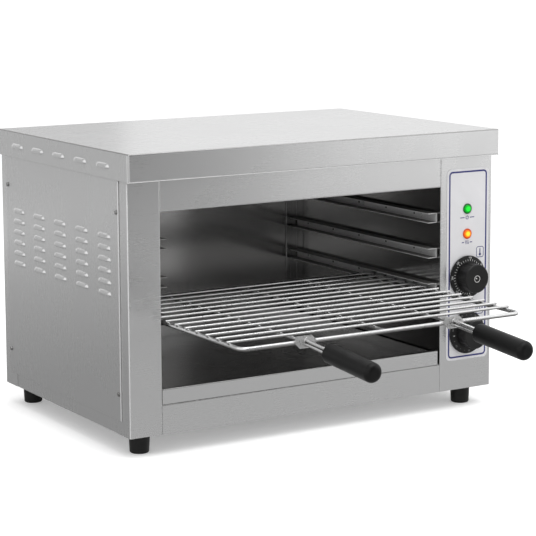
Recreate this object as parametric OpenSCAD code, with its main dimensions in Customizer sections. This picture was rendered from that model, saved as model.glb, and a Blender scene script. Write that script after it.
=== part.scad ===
// Countertop cheese melter: a steel cabinet with an open chamber, tubular
// heaters under its ceiling, a wire rack on channel rails and a crumb tray.
// +X is to the right seen from the front, -Y is the front, +Z is up.
// The origin lies on the table, under the middle of the whole outline.
// The rack is drawn pulled part of the way out; every other piece is at home.

/* [Body] */
// Width of the body over the side panels
body_w = 636; // [600:1:700]
// Depth of the body, front face to back face
body_d = 426; // [410:1:480]
// Height of the body under the top cover, without the feet
body_h = 403; // [390:1:440]
// Thickness of the outer sheet metal
sheet_t = 1; // [0.8:0.1:1.5]
// Outer radius of the folds in the outer sheets
bend_r = 1.8; // [1.6:0.1:2.4]
// Width of the left corner post's face
post_w = 52; // [46:1:70]
// Width of the control panel, measured to the body's side
panel_w = 98; // [94:1:120]
// Height of the bottom fascia, which is the sill of the chamber
base_h = 43; // [36:1:60]
// Height of the top fascia, down from the top of the body
head_h = 84.5; // [80:0.5:100]
// Depth of the side returns of the post, the control panel and the back
return_d = 40; // [36:1:60]
// Width of the inward rims that carry the top cover
rim_w = 12; // [8:1:16]
// Air between neighbouring front sheets
seam = 0.5; // [0.2:0.1:0.8]
// Depth of the folds along the opening's upper and lower edges
opening_fold = 22; // [14:1:30]

/* [Top cover] */
// Thickness of the cover's sheet
cover_t = 1.2; // [1:0.1:1.6]
// Height of the cover's skirt
skirt_h = 40; // [34:1:50]
// How far the cover stands out over the front
overhang_front = 13; // [8:1:24]
// How far the cover stands out at each side
overhang_side = 2; // [1.8:0.1:4]
// How far the cover stands out at the back
overhang_back = 2; // [1.8:0.1:4]
// Depth of the fold under the front skirt
skirt_hem = 6; // [4:1:7]

/* [Side panels] */
// From the front face to the panel's front edge
side_front = 25; // [20:1:28]
// From the back face to the panel's back edge
side_back = 18; // [14:1:22]
// From the body's underside to the panel's lower edge
side_low = 21; // [18:1:26]
// From the top of the body to the panel's upper edge
side_high = 26; // [20:1:32]
// From a panel's front or back edge to its screws
screw_inset = 6; // [5:1:8]
// From the panel's lower edge to its lower screws
screw_low = 38; // [30:1:50]
// From the panel's upper edge to its upper screws
screw_high = 58; // [50:1:70]

/* [Louvers] */
// Length of one louver, measured on the face of its sheet
louver_l = 41; // [36:1:46]
// Radius of the louver's round back
louver_r = 7; // [6.5:0.1:7.5]
// Radius of the slope down to each end of a louver
louver_end_r = 16; // [12:1:18]
// How deep the middle of that round back lies behind the sheet's face
louver_sink = 4.2; // [4:0.1:4.4]
// Thickness of the pressed hood
louver_t = 0.8; // [0.6:0.1:0.9]
// How far the mouth lies below the middle of the round back
louver_mouth = 1.5; // [1:0.1:2]
// Distance between the columns of louvers
louver_step_y = 73; // [66:1:76]
// Distance between the rows of louvers
louver_step_z = 16.4; // [16:0.1:18]
// Columns of louvers
louver_columns = 5; // [3:1:5]
// Rows of louvers in a side panel
louver_rows = 6; // [3:1:7]
// Height of the middle row above the body's underside
louver_mid_z = 238.5; // [225:0.5:250]
// Height of the skirt's louvers above the skirt's lower edge
skirt_louver_z = 16; // [12:0.5:20]

/* [Chamber] */
// Thickness of the chamber's sheets
liner_t = 1; // [0.8:0.1:1.2]
// Air behind the chamber's back wall
back_gap = 10; // [6:1:16]
// Height of the ceiling above the top of the opening
chamber_head = 30.5; // [28:0.5:40]
// Width of the side walls' front flanges
front_flange = 11; // [8:1:14]
// Width of the side walls' flanges on the back wall
back_flange = 21; // [12:1:26]
// Width of the hems along those flanges' free edges
flange_hem = 8; // [5:0.5:10]
// Air between the insulation on the ceiling and the cover's rims
blanket_gap = 11; // [4:1:20]

/* [Rails] */
// Height of a rail channel
rail_h = 15; // [14.5:0.5:18]
// Width of a rail channel
rail_w = 16; // [16:0.5:22]
// Thickness of a rail's sheet
rail_t = 1; // [0.8:0.1:1.2]
// From the body's front face to the rails' front ends
rail_front = 10; // [6:1:20]
// From the rails' back ends to the back wall's flanges
rail_back = 3; // [2:1:8]
// Height of the lowest rails above the body's underside
rail_low = 154.5; // [140:0.5:160]
// Distance between the rack's levels
rail_pitch = 54.5; // [46:0.5:56]
// Radius of a rivet's shank
rivet_r = 1.6; // [1.4:0.1:2]
// Radius of a rivet's head
rivet_head_r = 2.9; // [2.5:0.1:3.2]

/* [Rack] */
// Diameter of the rack's outer wire
rack_wire_d = 6; // [5:0.5:7]
// Diameter of the cross bars
bar_d = 4; // [4:0.5:5.5]
// How deep a welded wire sinks into the one that it crosses
weld_sink = 0.5; // [0.3:0.1:0.7]
// Air between the outer wire and the rails' webs
rack_side_gap = 6; // [5:0.5:8]
// Air between the rack and the back wall's flanges when it is home
rack_back_gap = 6; // [4:1:10]
// Middle of the front wire behind the body's face when the rack is home
rack_home = 8; // [4:1:20]
// How far the rack is drawn pulled out
rack_pull = 214; // [0:1:330]
// Middle of the front wire to the first cross bar
first_bar = 32; // [26:1:38]
// Distance between the cross bars
bar_pitch = 28.6; // [22:0.2:34]
// How far the cross bars stand out past the outer wire
bar_overhang = 1.3; // [0:0.1:2]
// Radius of the rack's corners, at the middle of the wire
rack_corner_r = 11; // [8:1:20]
// Air under the rack in its rail
rack_gap = 0.3; // [0.2:0.1:0.5]

/* [Handles] */
// From the middle of the rack to the left handle
handle_left = 135; // [90:1:150]
// From the middle of the rack to the right handle
handle_right = 112; // [90:1:150]
// Width of a handle's plate
plate_w = 33; // [30:1:44]
// Height of a handle's plate
plate_h = 17; // [17:1:24]
// Thickness of a handle's plate
plate_t = 1.5; // [1.2:0.1:2]
// How far the plate hangs below the middle of the front wire
plate_drop = 8; // [7:0.5:9]
// Cut-off corners of the plate
plate_cut = 7; // [3:0.5:8]
// Diameter of each of the two wires of a handle
stem_d = 4.8; // [3.6:0.2:5]
// Air between the two wires of a handle
stem_gap = 0.5; // [0.1:0.1:1]
// Length of the bare wires between plate and grip
stem_l = 58; // [40:1:70]
// Length of the wires inside the grip
stem_depth = 60; // [40:1:80]
// How far the handles slope down to the front, in degrees
stem_tilt = 4.3; // [0:0.1:8]
// Diameter of a grip
grip_d = 27; // [24:0.5:32]
// Length of a grip
grip_l = 107; // [100:1:130]
// Rounding of the grip's end at the wires
grip_edge = 3.5; // [1:0.5:5]
// Rounding of the grip's free end
grip_nose = 8; // [3:0.5:10]

/* [Crumb tray] */
// Thickness of the tray's sheet
tray_t = 1; // [0.8:0.1:1.2]
// Height of the tray's front lip
lip_h = 22.2; // [18:0.1:30]
// Depth of the fold along the top of the lip
lip_hem = 7; // [5:0.5:12]
// Air at the left end of the lip
lip_gap_left = 1; // [1:0.5:5]
// Air at the right end of the lip
lip_gap_right = 4.3; // [1:0.1:6]
// Height of the tray's side walls
tray_wall_h = 17; // [12:0.5:20]
// Height of the tray's back wall
tray_back_h = 27; // [14:0.5:30]
// Air between the tray and what it slides on
tray_gap = 0.3; // [0.2:0.1:0.5]
// Air behind the tray when it is home
tray_back_gap = 4; // [2:1:10]

/* [Heaters] */
// Diameter of a heater tube
heater_d = 8; // [6.5:0.5:9]
// Distance between the two legs of a heater
heater_legs = 44; // [36:1:50]
// Distance between neighbouring heaters
heater_pitch = 127; // [115:1:135]
// From the ceiling to the middle of the heater tubes
heater_drop = 18; // [14:1:20]
// From the left wall to the heaters' bends
heater_end_gap = 24; // [12:1:40]
// Length of a heater's cold end past the right wall
heater_tail = 22; // [18:1:30]
// Thickness of the hangers' sheet
hanger_t = 1.2; // [1:0.1:1.6]
// From the middle of the chamber to each hanger
hanger_x = 130; // [80:1:170]
// Length of the thermostat's bulb
bulb_l = 90; // [60:1:110]
// Diameter of the thermostat's bulb
bulb_d = 6; // [5:0.5:7]

/* [Controls] */
// From the body's right side to the middle of the controls
control_x = 48; // [44:1:54]
// Height of the thermostat's dial above the body's underside
thermostat_z = 176.5; // [165:0.5:180]
// Height of the timer's dial above the body's underside
timer_z = 89; // [80:1:94]
// Height of the power lamp above the body's underside
power_lamp_z = 282.5; // [262:0.5:290]
// Height of the heating lamp above the body's underside
heat_lamp_z = 243.5; // [225:0.5:248]
// Width of the label plate
label_w = 79.5; // [76:0.5:84]
// Height of the label plate
label_h = 298.5; // [280:0.5:310]
// Thickness of the label plate
label_t = 0.6; // [0.4:0.1:1]
// From the body's right side to the label plate
label_side = 7; // [3:0.5:10]
// Height of the label plate's lower edge above the body's underside
label_low = 46.5; // [36:0.5:50]
// Corner radius of the label plate
label_r = 8; // [4:1:14]
// Diameter of a dial's skirt
dial_d = 66; // [56:1:68]
// Thickness of a dial's skirt at its rim
dial_rim = 2.4; // [1.6:0.1:3]
// Air behind a dial
dial_gap = 1; // [0.6:0.1:2]
// Diameter of a knob's cap at its root
cap_d = 46; // [40:1:50]
// Diameter of a knob's cap at its face
cap_face_d = 44; // [36:1:48]
// How far a knob's face stands in front of the label plate
knob_depth = 27; // [24:1:36]
// Diameter of the spindles
spindle_d = 6; // [5.5:0.25:6.5]
// Running clearance round a spindle, on the radius
spindle_fit = 0.05; // [0.02:0.01:0.1]
// Height of the flat on a spindle above its middle
spindle_flat = 1.5; // [1:0.1:2]
// Diameter of a lamp's lens
lens_d = 16; // [12:0.5:18]
// Diameter of a lamp's neck
lens_neck_d = 11; // [9:0.5:12]

/* [Feet and fittings] */
// Height of the feet
foot_h = 30; // [20:1:60]
// Diameter of a foot at its top
foot_top_d = 31; // [28:0.5:36]
// Diameter of a foot at its sole
foot_sole_d = 28.2; // [24:0.2:32]
// From the body's side to the middle of a foot
foot_x = 33; // [28:1:48]
// From the body's front face to the middle of the front feet
foot_front = 34.5; // [30:0.5:60]
// From the body's back face to the middle of the back feet
foot_back = 28.5; // [24:0.5:60]
// Diameter of the foot screws
foot_screw_d = 5; // [4:0.5:6]
// Diameter of the panel screws
screw_d = 4; // [3:0.5:4]
// Diameter of the panel screws' heads
screw_head_d = 6.6; // [6:0.2:7.5]
// Height of the panel screws' heads
screw_head_h = 2.2; // [1.6:0.1:2.6]
// Diameter of the hole through the cable gland
gland_bore_d = 10; // [8:0.5:12]
// Diameter of the cable gland's thread
gland_thread_d = 20; // [18:1:24]
// How far the cable gland stands out at the back
gland_out = 22; // [16:1:28]
// Height of the cable gland above the body's underside
gland_z = 62; // [50:1:80]

/* [Hidden] */

// Smoothness of true circles in the preview
$fn = 48;
// A small overshoot that keeps cuts clean
cut = 1;

// Planes of the body
x_left = -body_w / 2;
x_right = body_w / 2;
z_base = foot_h;
z_top = foot_h + body_h;
z_sill = z_base + base_h;
z_open = z_top - head_h;
x_post = x_left + post_w;
x_panel = x_right - panel_w;
x_mid = (x_post + x_panel) / 2;
x_control = x_right - control_x;

// Planes of the chamber
z_floor = z_sill + liner_t;
z_ceiling = z_open + chamber_head;
y_wall = body_d - sheet_t - back_gap - liner_t;
y_flange = y_wall - liner_t;

// Insulation: how far it stays back from the sheets' edges and faces
blanket_margin = 4;
blanket_fit = 0.3;

// Rails, from low to high, as heights of their undersides
rail_levels = 3;
function rail_z(level) = z_base + rail_low + level * rail_pitch;
rail_end = y_flange - rail_back;
rivet_head_t = 1.2;
rivet_tail_t = 1.5;
rivet_y = [rail_front + 40, (rail_front + rail_end) / 2, rail_end - 40];

// Rack: its own level, half width and ends, and its handles
z_rack = rail_z(0) + rail_t + rack_gap + rack_wire_d / 2;
rack_half = (x_panel - x_post) / 2 - rail_t - rack_side_gap - rack_wire_d / 2;
rack_l = y_flange - rack_back_gap - rack_wire_d / 2 - rack_home;
y_rack = rack_home - rack_pull;
z_bar = z_rack + rack_wire_d / 2 + bar_d / 2 - weld_sink;
last_bar_room = 12;
bar_count = floor((rack_l - first_bar - last_bar_room) / bar_pitch) + 1;
y_plate = y_rack - rack_wire_d / 2;
y_stem = y_plate - plate_t;
hole_gap = 0.1;
function handle_x(side) = side < 0 ? x_mid - handle_left : x_mid + handle_right;

// Heaters
z_heater = z_ceiling - heater_drop;
y_heaters = (sheet_t + y_wall) / 2;
heater_wall_gap = 0.2;
nut_t = 6;
pin_r = 1.8;
pin_l = 14;

// Controls
y_label = -label_t;
y_dial = y_label - dial_gap;
y_knob_face = y_label - knob_depth;
bush_r = 5;
bush_out = 3;
bush_nut_r = 8;
bush_nut_t = 2.4;
switch_w = 50;
switch_h = 44;
switch_d = 38;
spindle_in = 24;
spindle_tip = 8;
spindle_press = 0.02;
neck_l = 10;
holder_r = 9;
holder_l = 26;

// Where wires end: a hair off the faces that they are fixed to
wire_off = 0.3;
y_switch_back = sheet_t + switch_d + wire_off;
y_holder_back = sheet_t + holder_l + wire_off;

// Knob: a recess behind for the bush's nut, and shallow grip flutes
recess_r = 12;
recess_d = 3.6;
flat_start = 6;
skirt_rise = 2;
skirt_edge = 0.6;
cap_chamfer = 1;
flutes = 8;
flute_r = 14;
flute_depth = 1.2;

// Feet
foot_recess_r = 6.5;
foot_recess_h = 18;
foot_edge = 1.5;
foot_x_places = [x_left + foot_x, x_right - foot_x];
foot_y_places = [foot_front, body_d - foot_back];

// Back fittings
x_gland = x_control;
gland_hex_t = 5;
gland_nut_t = 4;
gland_dome = gland_out - gland_hex_t;

// Screws of the side panels and of the back
screw_y_places = [side_front + screw_inset, body_d - side_back - screw_inset];
screw_z_places = [z_base + side_low + screw_low, z_top - side_high - screw_high];
screw_l = 8;
back_screw_left = 60;
back_screw_right = 130;
back_screw_x = [x_left + back_screw_left, 0, x_right - back_screw_right];
back_screw_low = 10;
back_flange_h = 20;

// Outline of everything along Y, which sets the origin
grip_end = stem_l + grip_l;
y_first = y_stem - (grip_end - grip_nose) * cos(stem_tilt)
    - (grip_d / 2 - grip_nose) * sin(stem_tilt) - grip_nose;
y_last = body_d + gland_out;
y_origin = (y_first + y_last) / 2;

// Colours
steel = [0.75, 0.76, 0.78];
dark_steel = [0.45, 0.45, 0.47];
chrome = [0.85, 0.86, 0.88];
black = [0.08, 0.08, 0.08];
wool = [0.85, 0.82, 0.72];
white = [0.9, 0.9, 0.88];
brass = [0.75, 0.6, 0.3];

// Everything is drawn from the body's front face and set on the origin here
module placed() {
    translate([0, -y_origin, 0]) children();
}

// A box between two opposite corners
module slab(low, high) {
    translate(low) cube(high - low);
}

// A round bar from a point, along +X, +Y or +Z
module bar_x(at, r, l) {
    translate(at) rotate([0, 90, 0]) cylinder(r = r, h = l);
}
module bar_y(at, r, l) {
    translate(at) rotate([-90, 0, 0]) cylinder(r = r, h = l);
}
module bar_z(at, r, l) {
    translate(at) cylinder(r = r, h = l);
}

// Plan of a sheet folded at a right angle, its corner at the origin
module fold_plan(a, b, t, r) {
    difference() {
        union() {
            translate([r, 0]) square([a - r, t]);
            translate([0, r]) square([t, b - r]);
            intersection() {
                translate([r, r]) circle(r = r);
                square(r);
            }
        }
        translate([r, r]) circle(r = r - t);
    }
}

// Rounded rectangle from its lower left corner
module rounded_plan(w, h, r) {
    union() {
        translate([r, 0]) square([w - 2 * r, h]);
        translate([0, r]) square([w, h - 2 * r]);
        for (x = [r, w - r], y = [r, h - r]) translate([x, y]) circle(r = r);
    }
}

// The part of a disc round the origin that lies on the +X, +Y side
module quarter_disc(r) {
    intersection() {
        circle(r = r);
        square(r);
    }
}

// A round bar along Y that slopes off to a point past each end of its straight part
module pill(straight, r, end_r) {
    tip = straight / 2 + sqrt(pow(end_r, 2) - pow(end_r - r, 2));
    rotate([90, 0, 0]) rotate_extrude() intersection() {
        union() {
            for (side = [-1, 1]) translate([r - end_r, side * straight / 2]) circle(r = end_r);
            translate([0, -straight / 2]) square([r, straight]);
        }
        translate([0, -tip]) square([r, 2 * tip]);
    }
}

// Louvers in a sheet whose outer face is the plane x = face, looking to -X.
// The sheet is the child; places is a list of [y, z]. Each hood is open below.
module louvered(face, t, places) {
    reach = louver_r + cut;
    slope_l = sqrt(pow(louver_end_r, 2) - pow(louver_end_r - louver_r + louver_sink, 2));
    straight = louver_l - 2 * slope_l;
    end = straight / 2 + louver_end_r;
    difference() {
        union() {
            children();
            for (p = places) translate([face + louver_sink, p[0], p[1]])
                pill(straight, louver_r, louver_end_r);
        }
        for (p = places) translate([face + louver_sink, p[0], p[1]]) {
            intersection() {
                pill(straight, louver_r - louver_t, louver_end_r - louver_t);
                translate([-reach, -end, -louver_mouth]) cube([2 * reach, 2 * end, 2 * reach]);
            }
            translate([-louver_sink - reach, -end, -reach])
                cube([reach, 2 * end, reach - louver_mouth]);
            translate([t - louver_sink, -end, -reach])
                cube([reach + louver_sink, 2 * end, 2 * reach]);
        }
    }
}

// What rounds an edge takes away: the edge runs up from the origin, and the
// solid lies on its +X, +Y side
module edge_cut(l, r) {
    translate([0, 0, -cut]) linear_extrude(l + 2 * cut) difference() {
        translate([-cut, -cut]) square(r + cut);
        translate([r, r]) circle(r = r);
    }
}

// Places of the side panel's louvers
louver_grid_y = (side_front + body_d - side_back) / 2;
side_louvers = [
    for (i = [0 : louver_columns - 1], j = [0 : louver_rows - 1])
        [louver_grid_y + (i - (louver_columns - 1) / 2) * louver_step_y,
         z_base + louver_mid_z + (j - (louver_rows - 1) / 2) * louver_step_z]
];
skirt_louvers = [
    for (i = [0 : louver_columns - 1])
        [body_d / 2 + (i - (louver_columns - 1) / 2) * louver_step_y,
         z_top + cover_t - skirt_h + skirt_louver_z]
];

// ---------- Outer sheets ----------

x_cover = x_left - overhang_side;
y_cover = [-overhang_front, body_d + overhang_back];
z_cover = [z_top + cover_t - skirt_h, z_top + cover_t];
z_cover_screw = z_top + cover_t - skirt_h / 2;

// Lid with skirts all round and a fold under the front skirt
module cover_shell() {
    difference() {
        slab([x_cover, y_cover[0], z_cover[0]], [-x_cover, y_cover[1], z_cover[1]]);
        slab([x_cover + cover_t, y_cover[0] + cover_t, z_cover[0] + cover_t],
             [-x_cover - cover_t, y_cover[1] - cover_t, z_top]);
        slab([x_cover + cover_t, y_cover[0] + skirt_hem, z_cover[0] - cut],
             [-x_cover - cover_t, y_cover[1] - cover_t, z_top]);
        cover_edge_cuts();
    }
}

module cover_edge_cuts() {
    w = -2 * x_cover;
    d = y_cover[1] - y_cover[0];
    for (side = [0, 1]) mirror([side, 0, 0]) {
        translate([x_cover, y_cover[0], z_cover[1]]) rotate([-90, 0, 0]) edge_cut(d, bend_r);
        for (back = [0, 1]) translate([x_cover, y_cover[back], z_cover[0]])
            mirror([0, back, 0]) edge_cut(skirt_h, bend_r);
    }
    for (back = [0, 1]) translate([x_cover, y_cover[back], z_cover[1]])
        mirror([0, back, 0]) rotate([0, 90, 0]) edge_cut(w, bend_r);
    translate([-x_cover, y_cover[0], z_cover[0]]) rotate([0, -90, 0]) edge_cut(w, bend_r);
}

module top_cover() placed() color(steel) difference() {
    louvered(x_cover, cover_t, skirt_louvers)
        mirror([1, 0, 0]) louvered(x_cover, cover_t, skirt_louvers)
            cover_shell();
    for (x = back_screw_x)
        bar_y([x, body_d, z_cover_screw], screw_d / 2 + hole_gap, overhang_back + cut);
}

module left_post() placed() color(steel) difference() {
    union() {
        translate([x_left + sheet_t, 0, z_base]) linear_extrude(body_h)
            fold_plan(post_w - sheet_t, return_d, sheet_t, bend_r);
        slab([x_left + 2 * sheet_t, sheet_t, z_top - sheet_t], [x_post, rim_w, z_top]);
    }
    side_screw_holes(screw_d / 2);
}

module control_panel() placed() color(steel) difference() {
    union() {
        mirror([1, 0, 0]) translate([x_left + sheet_t, 0, z_base]) linear_extrude(body_h)
            fold_plan(panel_w - sheet_t, return_d, sheet_t, bend_r);
        slab([x_panel, sheet_t, z_top - sheet_t], [x_right - 2 * sheet_t, rim_w, z_top]);
    }
    side_screw_holes(screw_d / 2);
    for (z = [thermostat_z, timer_z])
        bar_y([x_control, -cut, z_base + z], bush_r + hole_gap, sheet_t + 2 * cut);
    for (z = [power_lamp_z, heat_lamp_z])
        bar_y([x_control, -cut, z_base + z], lens_neck_d / 2 + hole_gap, sheet_t + 2 * cut);
}

module top_fascia() placed() color(steel) {
    translate([x_post + seam, 0, z_open]) rotate([90, 0, 90])
        linear_extrude(x_panel - x_post - 2 * seam)
            fold_plan(opening_fold, head_h, sheet_t, bend_r);
    slab([x_post + seam, sheet_t, z_top - sheet_t], [x_panel - seam, rim_w, z_top]);
}

module bottom_fascia() placed() color(steel) {
    translate([x_post + seam, 0, z_sill]) rotate([90, 0, 90]) mirror([0, 1, 0])
        linear_extrude(x_panel - x_post - 2 * seam)
            fold_plan(opening_fold, base_h, sheet_t, bend_r);
}

// Pan with side flanges inside the posts and a flange inside the back, notched
// at the front for the folds of the posts
module base_pan() placed() color(steel) difference() {
    union() {
        slab([x_left + 2 * sheet_t, sheet_t, z_base],
             [x_right - 2 * sheet_t, body_d - sheet_t, z_base + sheet_t]);
        for (side = [0, 1]) mirror([side, 0, 0])
            slab([x_left + 2 * sheet_t, sheet_t, z_base],
                 [x_left + 3 * sheet_t, body_d - sheet_t, z_base + side_low + rim_w]);
        slab([x_left + 3 * sheet_t, body_d - 2 * sheet_t, z_base],
             [x_right - 3 * sheet_t, body_d - sheet_t, z_base + back_flange_h]);
    }
    for (side = [0, 1]) mirror([side, 0, 0])
        slab([x_left, 0, z_base - cut], [x_left + sheet_t + bend_r, bend_r, z_base + body_h]);
    for (x = foot_x_places, y = foot_y_places)
        bar_z([x, y, z_base - cut], foot_screw_d / 2 + hole_gap, sheet_t + 2 * cut);
    for (x = back_screw_x)
        bar_y([x, body_d - 2 * sheet_t - cut, z_base + back_screw_low], screw_d / 2, sheet_t + 2 * cut);
    for (i = [0 : 3]) base_slot(x_control - 24 + 16 * i);
}

module base_slot(x) {
    slab([x - 2.5, body_d / 2 - 25, z_base - cut], [x + 2.5, body_d / 2 + 25, z_base + sheet_t + cut]);
}

module side_sheet() {
    difference() {
        louvered(x_left, sheet_t, side_louvers)
            slab([x_left, side_front, z_base + side_low],
                 [x_left + sheet_t, body_d - side_back, z_top - side_high]);
        side_screw_holes(screw_d / 2 + hole_gap);
    }
}

// Screw holes through both sides of the body
module side_screw_holes(r) {
    for (y = screw_y_places, z = screw_z_places) {
        bar_x([x_left - cut, y, z], r, 2 * sheet_t + 2 * cut);
        bar_x([x_right - 2 * sheet_t - cut, y, z], r, 2 * sheet_t + 2 * cut);
    }
}

module left_side_panel() placed() color(steel) side_sheet();
module right_side_panel() placed() color(steel) mirror([1, 0, 0]) side_sheet();

module back_panel() placed() color(steel) difference() {
    union() {
        slab([x_left + sheet_t, body_d - sheet_t, z_base],
             [x_right - sheet_t, body_d, z_top]);
        for (side = [0, 1]) mirror([side, 0, 0])
            slab([x_left + sheet_t, body_d - return_d, z_base],
                 [x_left + 2 * sheet_t, body_d - sheet_t, z_top]);
        slab([x_left + 2 * sheet_t, body_d - rim_w, z_top - sheet_t],
             [x_right - 2 * sheet_t, body_d - sheet_t, z_top]);
    }
    side_screw_holes(screw_d / 2);
    bar_y([x_gland, body_d - sheet_t - cut, z_base + gland_z],
          gland_thread_d / 2 + hole_gap, sheet_t + 2 * cut);
    for (x = back_screw_x) {
        bar_y([x, body_d - sheet_t - cut, z_base + back_screw_low], screw_d / 2 + hole_gap,
              sheet_t + 2 * cut);
        bar_y([x, body_d - sheet_t - cut, z_cover_screw], screw_d / 2, sheet_t + 2 * cut);
    }
    for (i = [0 : 5]) back_slot(z_base + 150 + 18 * i);
}

module back_slot(z) {
    slab([x_control - 28, body_d - sheet_t - cut, z - 2.5],
         [x_control + 28, body_d + cut, z + 2.5]);
}

// ---------- Chamber ----------

// The left wall; the right one is its mirror image about the chamber's middle
module chamber_wall() {
    x = x_post;
    difference() {
        union() {
            slab([x - liner_t, sheet_t, z_base + sheet_t], [x, y_wall, z_ceiling + liner_t]);
            slab([x - liner_t - front_flange, sheet_t, z_base + sheet_t],
                 [x - liner_t, sheet_t + liner_t, z_ceiling + liner_t]);
            slab([x, y_flange, z_floor], [x + back_flange, y_wall, z_ceiling]);
            slab([x + back_flange - flange_hem, y_flange - liner_t, z_floor],
                 [x + back_flange, y_flange, z_ceiling]);
            bar_z([x + back_flange, y_flange, z_floor], liner_t, z_ceiling - z_floor);
        }
        for (level = [0 : rail_levels - 1], y = rivet_y)
            bar_x([x - liner_t - cut, y, rail_z(level) + rail_h / 2], rivet_r, liner_t + 2 * cut);
    }
}

// Mirror about the chamber's middle plane
module other_side() {
    translate([2 * x_mid, 0, 0]) mirror([1, 0, 0]) children();
}

module chamber_left_wall() placed() color(dark_steel) chamber_wall();

module chamber_right_wall() placed() color(dark_steel) difference() {
    other_side() chamber_wall();
    for (y = heater_leg_y)
        bar_x([x_panel - cut, y, z_heater], heater_d / 2 + heater_wall_gap, liner_t + 2 * cut);
    bar_x([x_panel - cut, y_bulb, z_bulb], capillary_r + capillary_gap, liner_t + 2 * cut);
}

module chamber_back_wall() placed() color(dark_steel)
    slab([x_post - liner_t, y_wall, z_base + sheet_t],
         [x_panel + liner_t, y_wall + liner_t, z_ceiling + liner_t]);

module chamber_ceiling() placed() color(dark_steel) {
    slab([x_post, sheet_t, z_ceiling], [x_panel, y_wall, z_ceiling + liner_t]);
    slab([x_post, sheet_t, z_ceiling + liner_t], [x_panel, sheet_t + liner_t, z_ceiling + rim_w]);
}

module chamber_floor() placed() color(dark_steel)
    slab([x_post, sheet_t + seam, z_sill], [x_panel, y_wall, z_floor]);

module rail(level) {
    difference() {
        slab([x_post, rail_front, rail_z(level)],
             [x_post + rail_w, rail_end, rail_z(level) + rail_h]);
        slab([x_post + rail_t, rail_front - cut, rail_z(level) + rail_t],
             [x_post + rail_w + cut, rail_end + cut, rail_z(level) + rail_h - rail_t]);
        for (y = rivet_y)
            bar_x([x_post - cut, y, rail_z(level) + rail_h / 2], rivet_r, rail_t + 2 * cut);
    }
}

module rail_left_low() placed() color(dark_steel) rail(0);
module rail_left_middle() placed() color(dark_steel) rail(1);
module rail_left_high() placed() color(dark_steel) rail(2);
module rail_right_low() placed() color(dark_steel) other_side() rail(0);
module rail_right_middle() placed() color(dark_steel) other_side() rail(1);
module rail_right_high() placed() color(dark_steel) other_side() rail(2);

// A rivet through the rail's web and the wall, head in the channel
module rivet(y, z) {
    bar_x([x_post + rail_t, y, z], rivet_head_r, rivet_head_t);
    bar_x([x_post - liner_t, y, z], rivet_r, liner_t + rail_t);
    bar_x([x_post - liner_t - rivet_tail_t, y, z], rivet_head_r - 0.5, rivet_tail_t);
}

module rail_rivets() placed() color(chrome)
    for (level = [0 : rail_levels - 1], y = rivet_y) {
        rivet(y, rail_z(level) + rail_h / 2);
        other_side() rivet(y, rail_z(level) + rail_h / 2);
    }

// ---------- Heaters ----------

heater_y = [for (i = [-1 : 1]) y_heaters + i * heater_pitch];
heater_leg_y = [for (y = heater_y, side = [-1, 1]) y + side * heater_legs / 2];
heater_bend_x = x_post + heater_end_gap + heater_d / 2 + heater_legs / 2;
hanger_places = [x_mid - hanger_x, x_mid + hanger_x];

module heater(y) {
    for (side = [-1, 1]) {
        bar_x([heater_bend_x, y + side * heater_legs / 2, z_heater], heater_d / 2,
              x_panel + heater_tail - heater_bend_x);
        bar_x([x_panel + heater_tail, y + side * heater_legs / 2, z_heater], pin_r, pin_l);
    }
    translate([heater_bend_x, y, z_heater]) rotate([0, 0, 90])
        rotate_extrude(angle = 180) translate([heater_legs / 2, 0]) circle(r = heater_d / 2);
}

module heater_front() placed() color(dark_steel) heater(heater_y[0]);
module heater_middle() placed() color(dark_steel) heater(heater_y[1]);
module heater_back() placed() color(dark_steel) heater(heater_y[2]);

// Hexagon nuts that hold the heaters in the right wall
module heater_nuts() placed() color(brass)
    for (y = heater_leg_y) difference() {
        translate([x_panel + liner_t, y, z_heater]) rotate([0, 90, 0])
            cylinder(r = heater_d / 2 + 4, h = nut_t, $fn = 6);
        bar_x([x_panel, y, z_heater], heater_d / 2 + spindle_fit, nut_t + 2 * cut);
    }

// Straps under the ceiling, with a hole for each heater leg
module heater_hangers() placed() color(dark_steel)
    for (x = hanger_places) difference() {
        union() {
            slab([x, heater_leg_y[0] - 16, z_heater - 9],
                 [x + hanger_t, heater_leg_y[5] + 16, z_ceiling]);
            slab([x + hanger_t, heater_leg_y[0] - 16, z_ceiling - hanger_t],
                 [x + 14, heater_leg_y[5] + 16, z_ceiling]);
        }
        for (y = heater_leg_y)
            bar_x([x - cut, y, z_heater], heater_d / 2 + heater_wall_gap, hanger_t + 2 * cut);
    }

module ceiling_blanket() placed() color(wool)
    slab([x_post + blanket_margin, sheet_t + liner_t + blanket_margin, z_ceiling + liner_t],
         [x_panel - blanket_margin, y_wall, z_top - sheet_t - blanket_gap]);

// Fills the space between the left panel and the chamber
module left_blanket() placed() color(wool)
    slab([x_left + 3 * sheet_t + blanket_fit, return_d + blanket_margin, z_base + sheet_t],
         [x_post - liner_t - rivet_tail_t - blanket_fit, body_d - return_d - blanket_margin,
          z_ceiling]);

// ---------- Rack ----------

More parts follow.
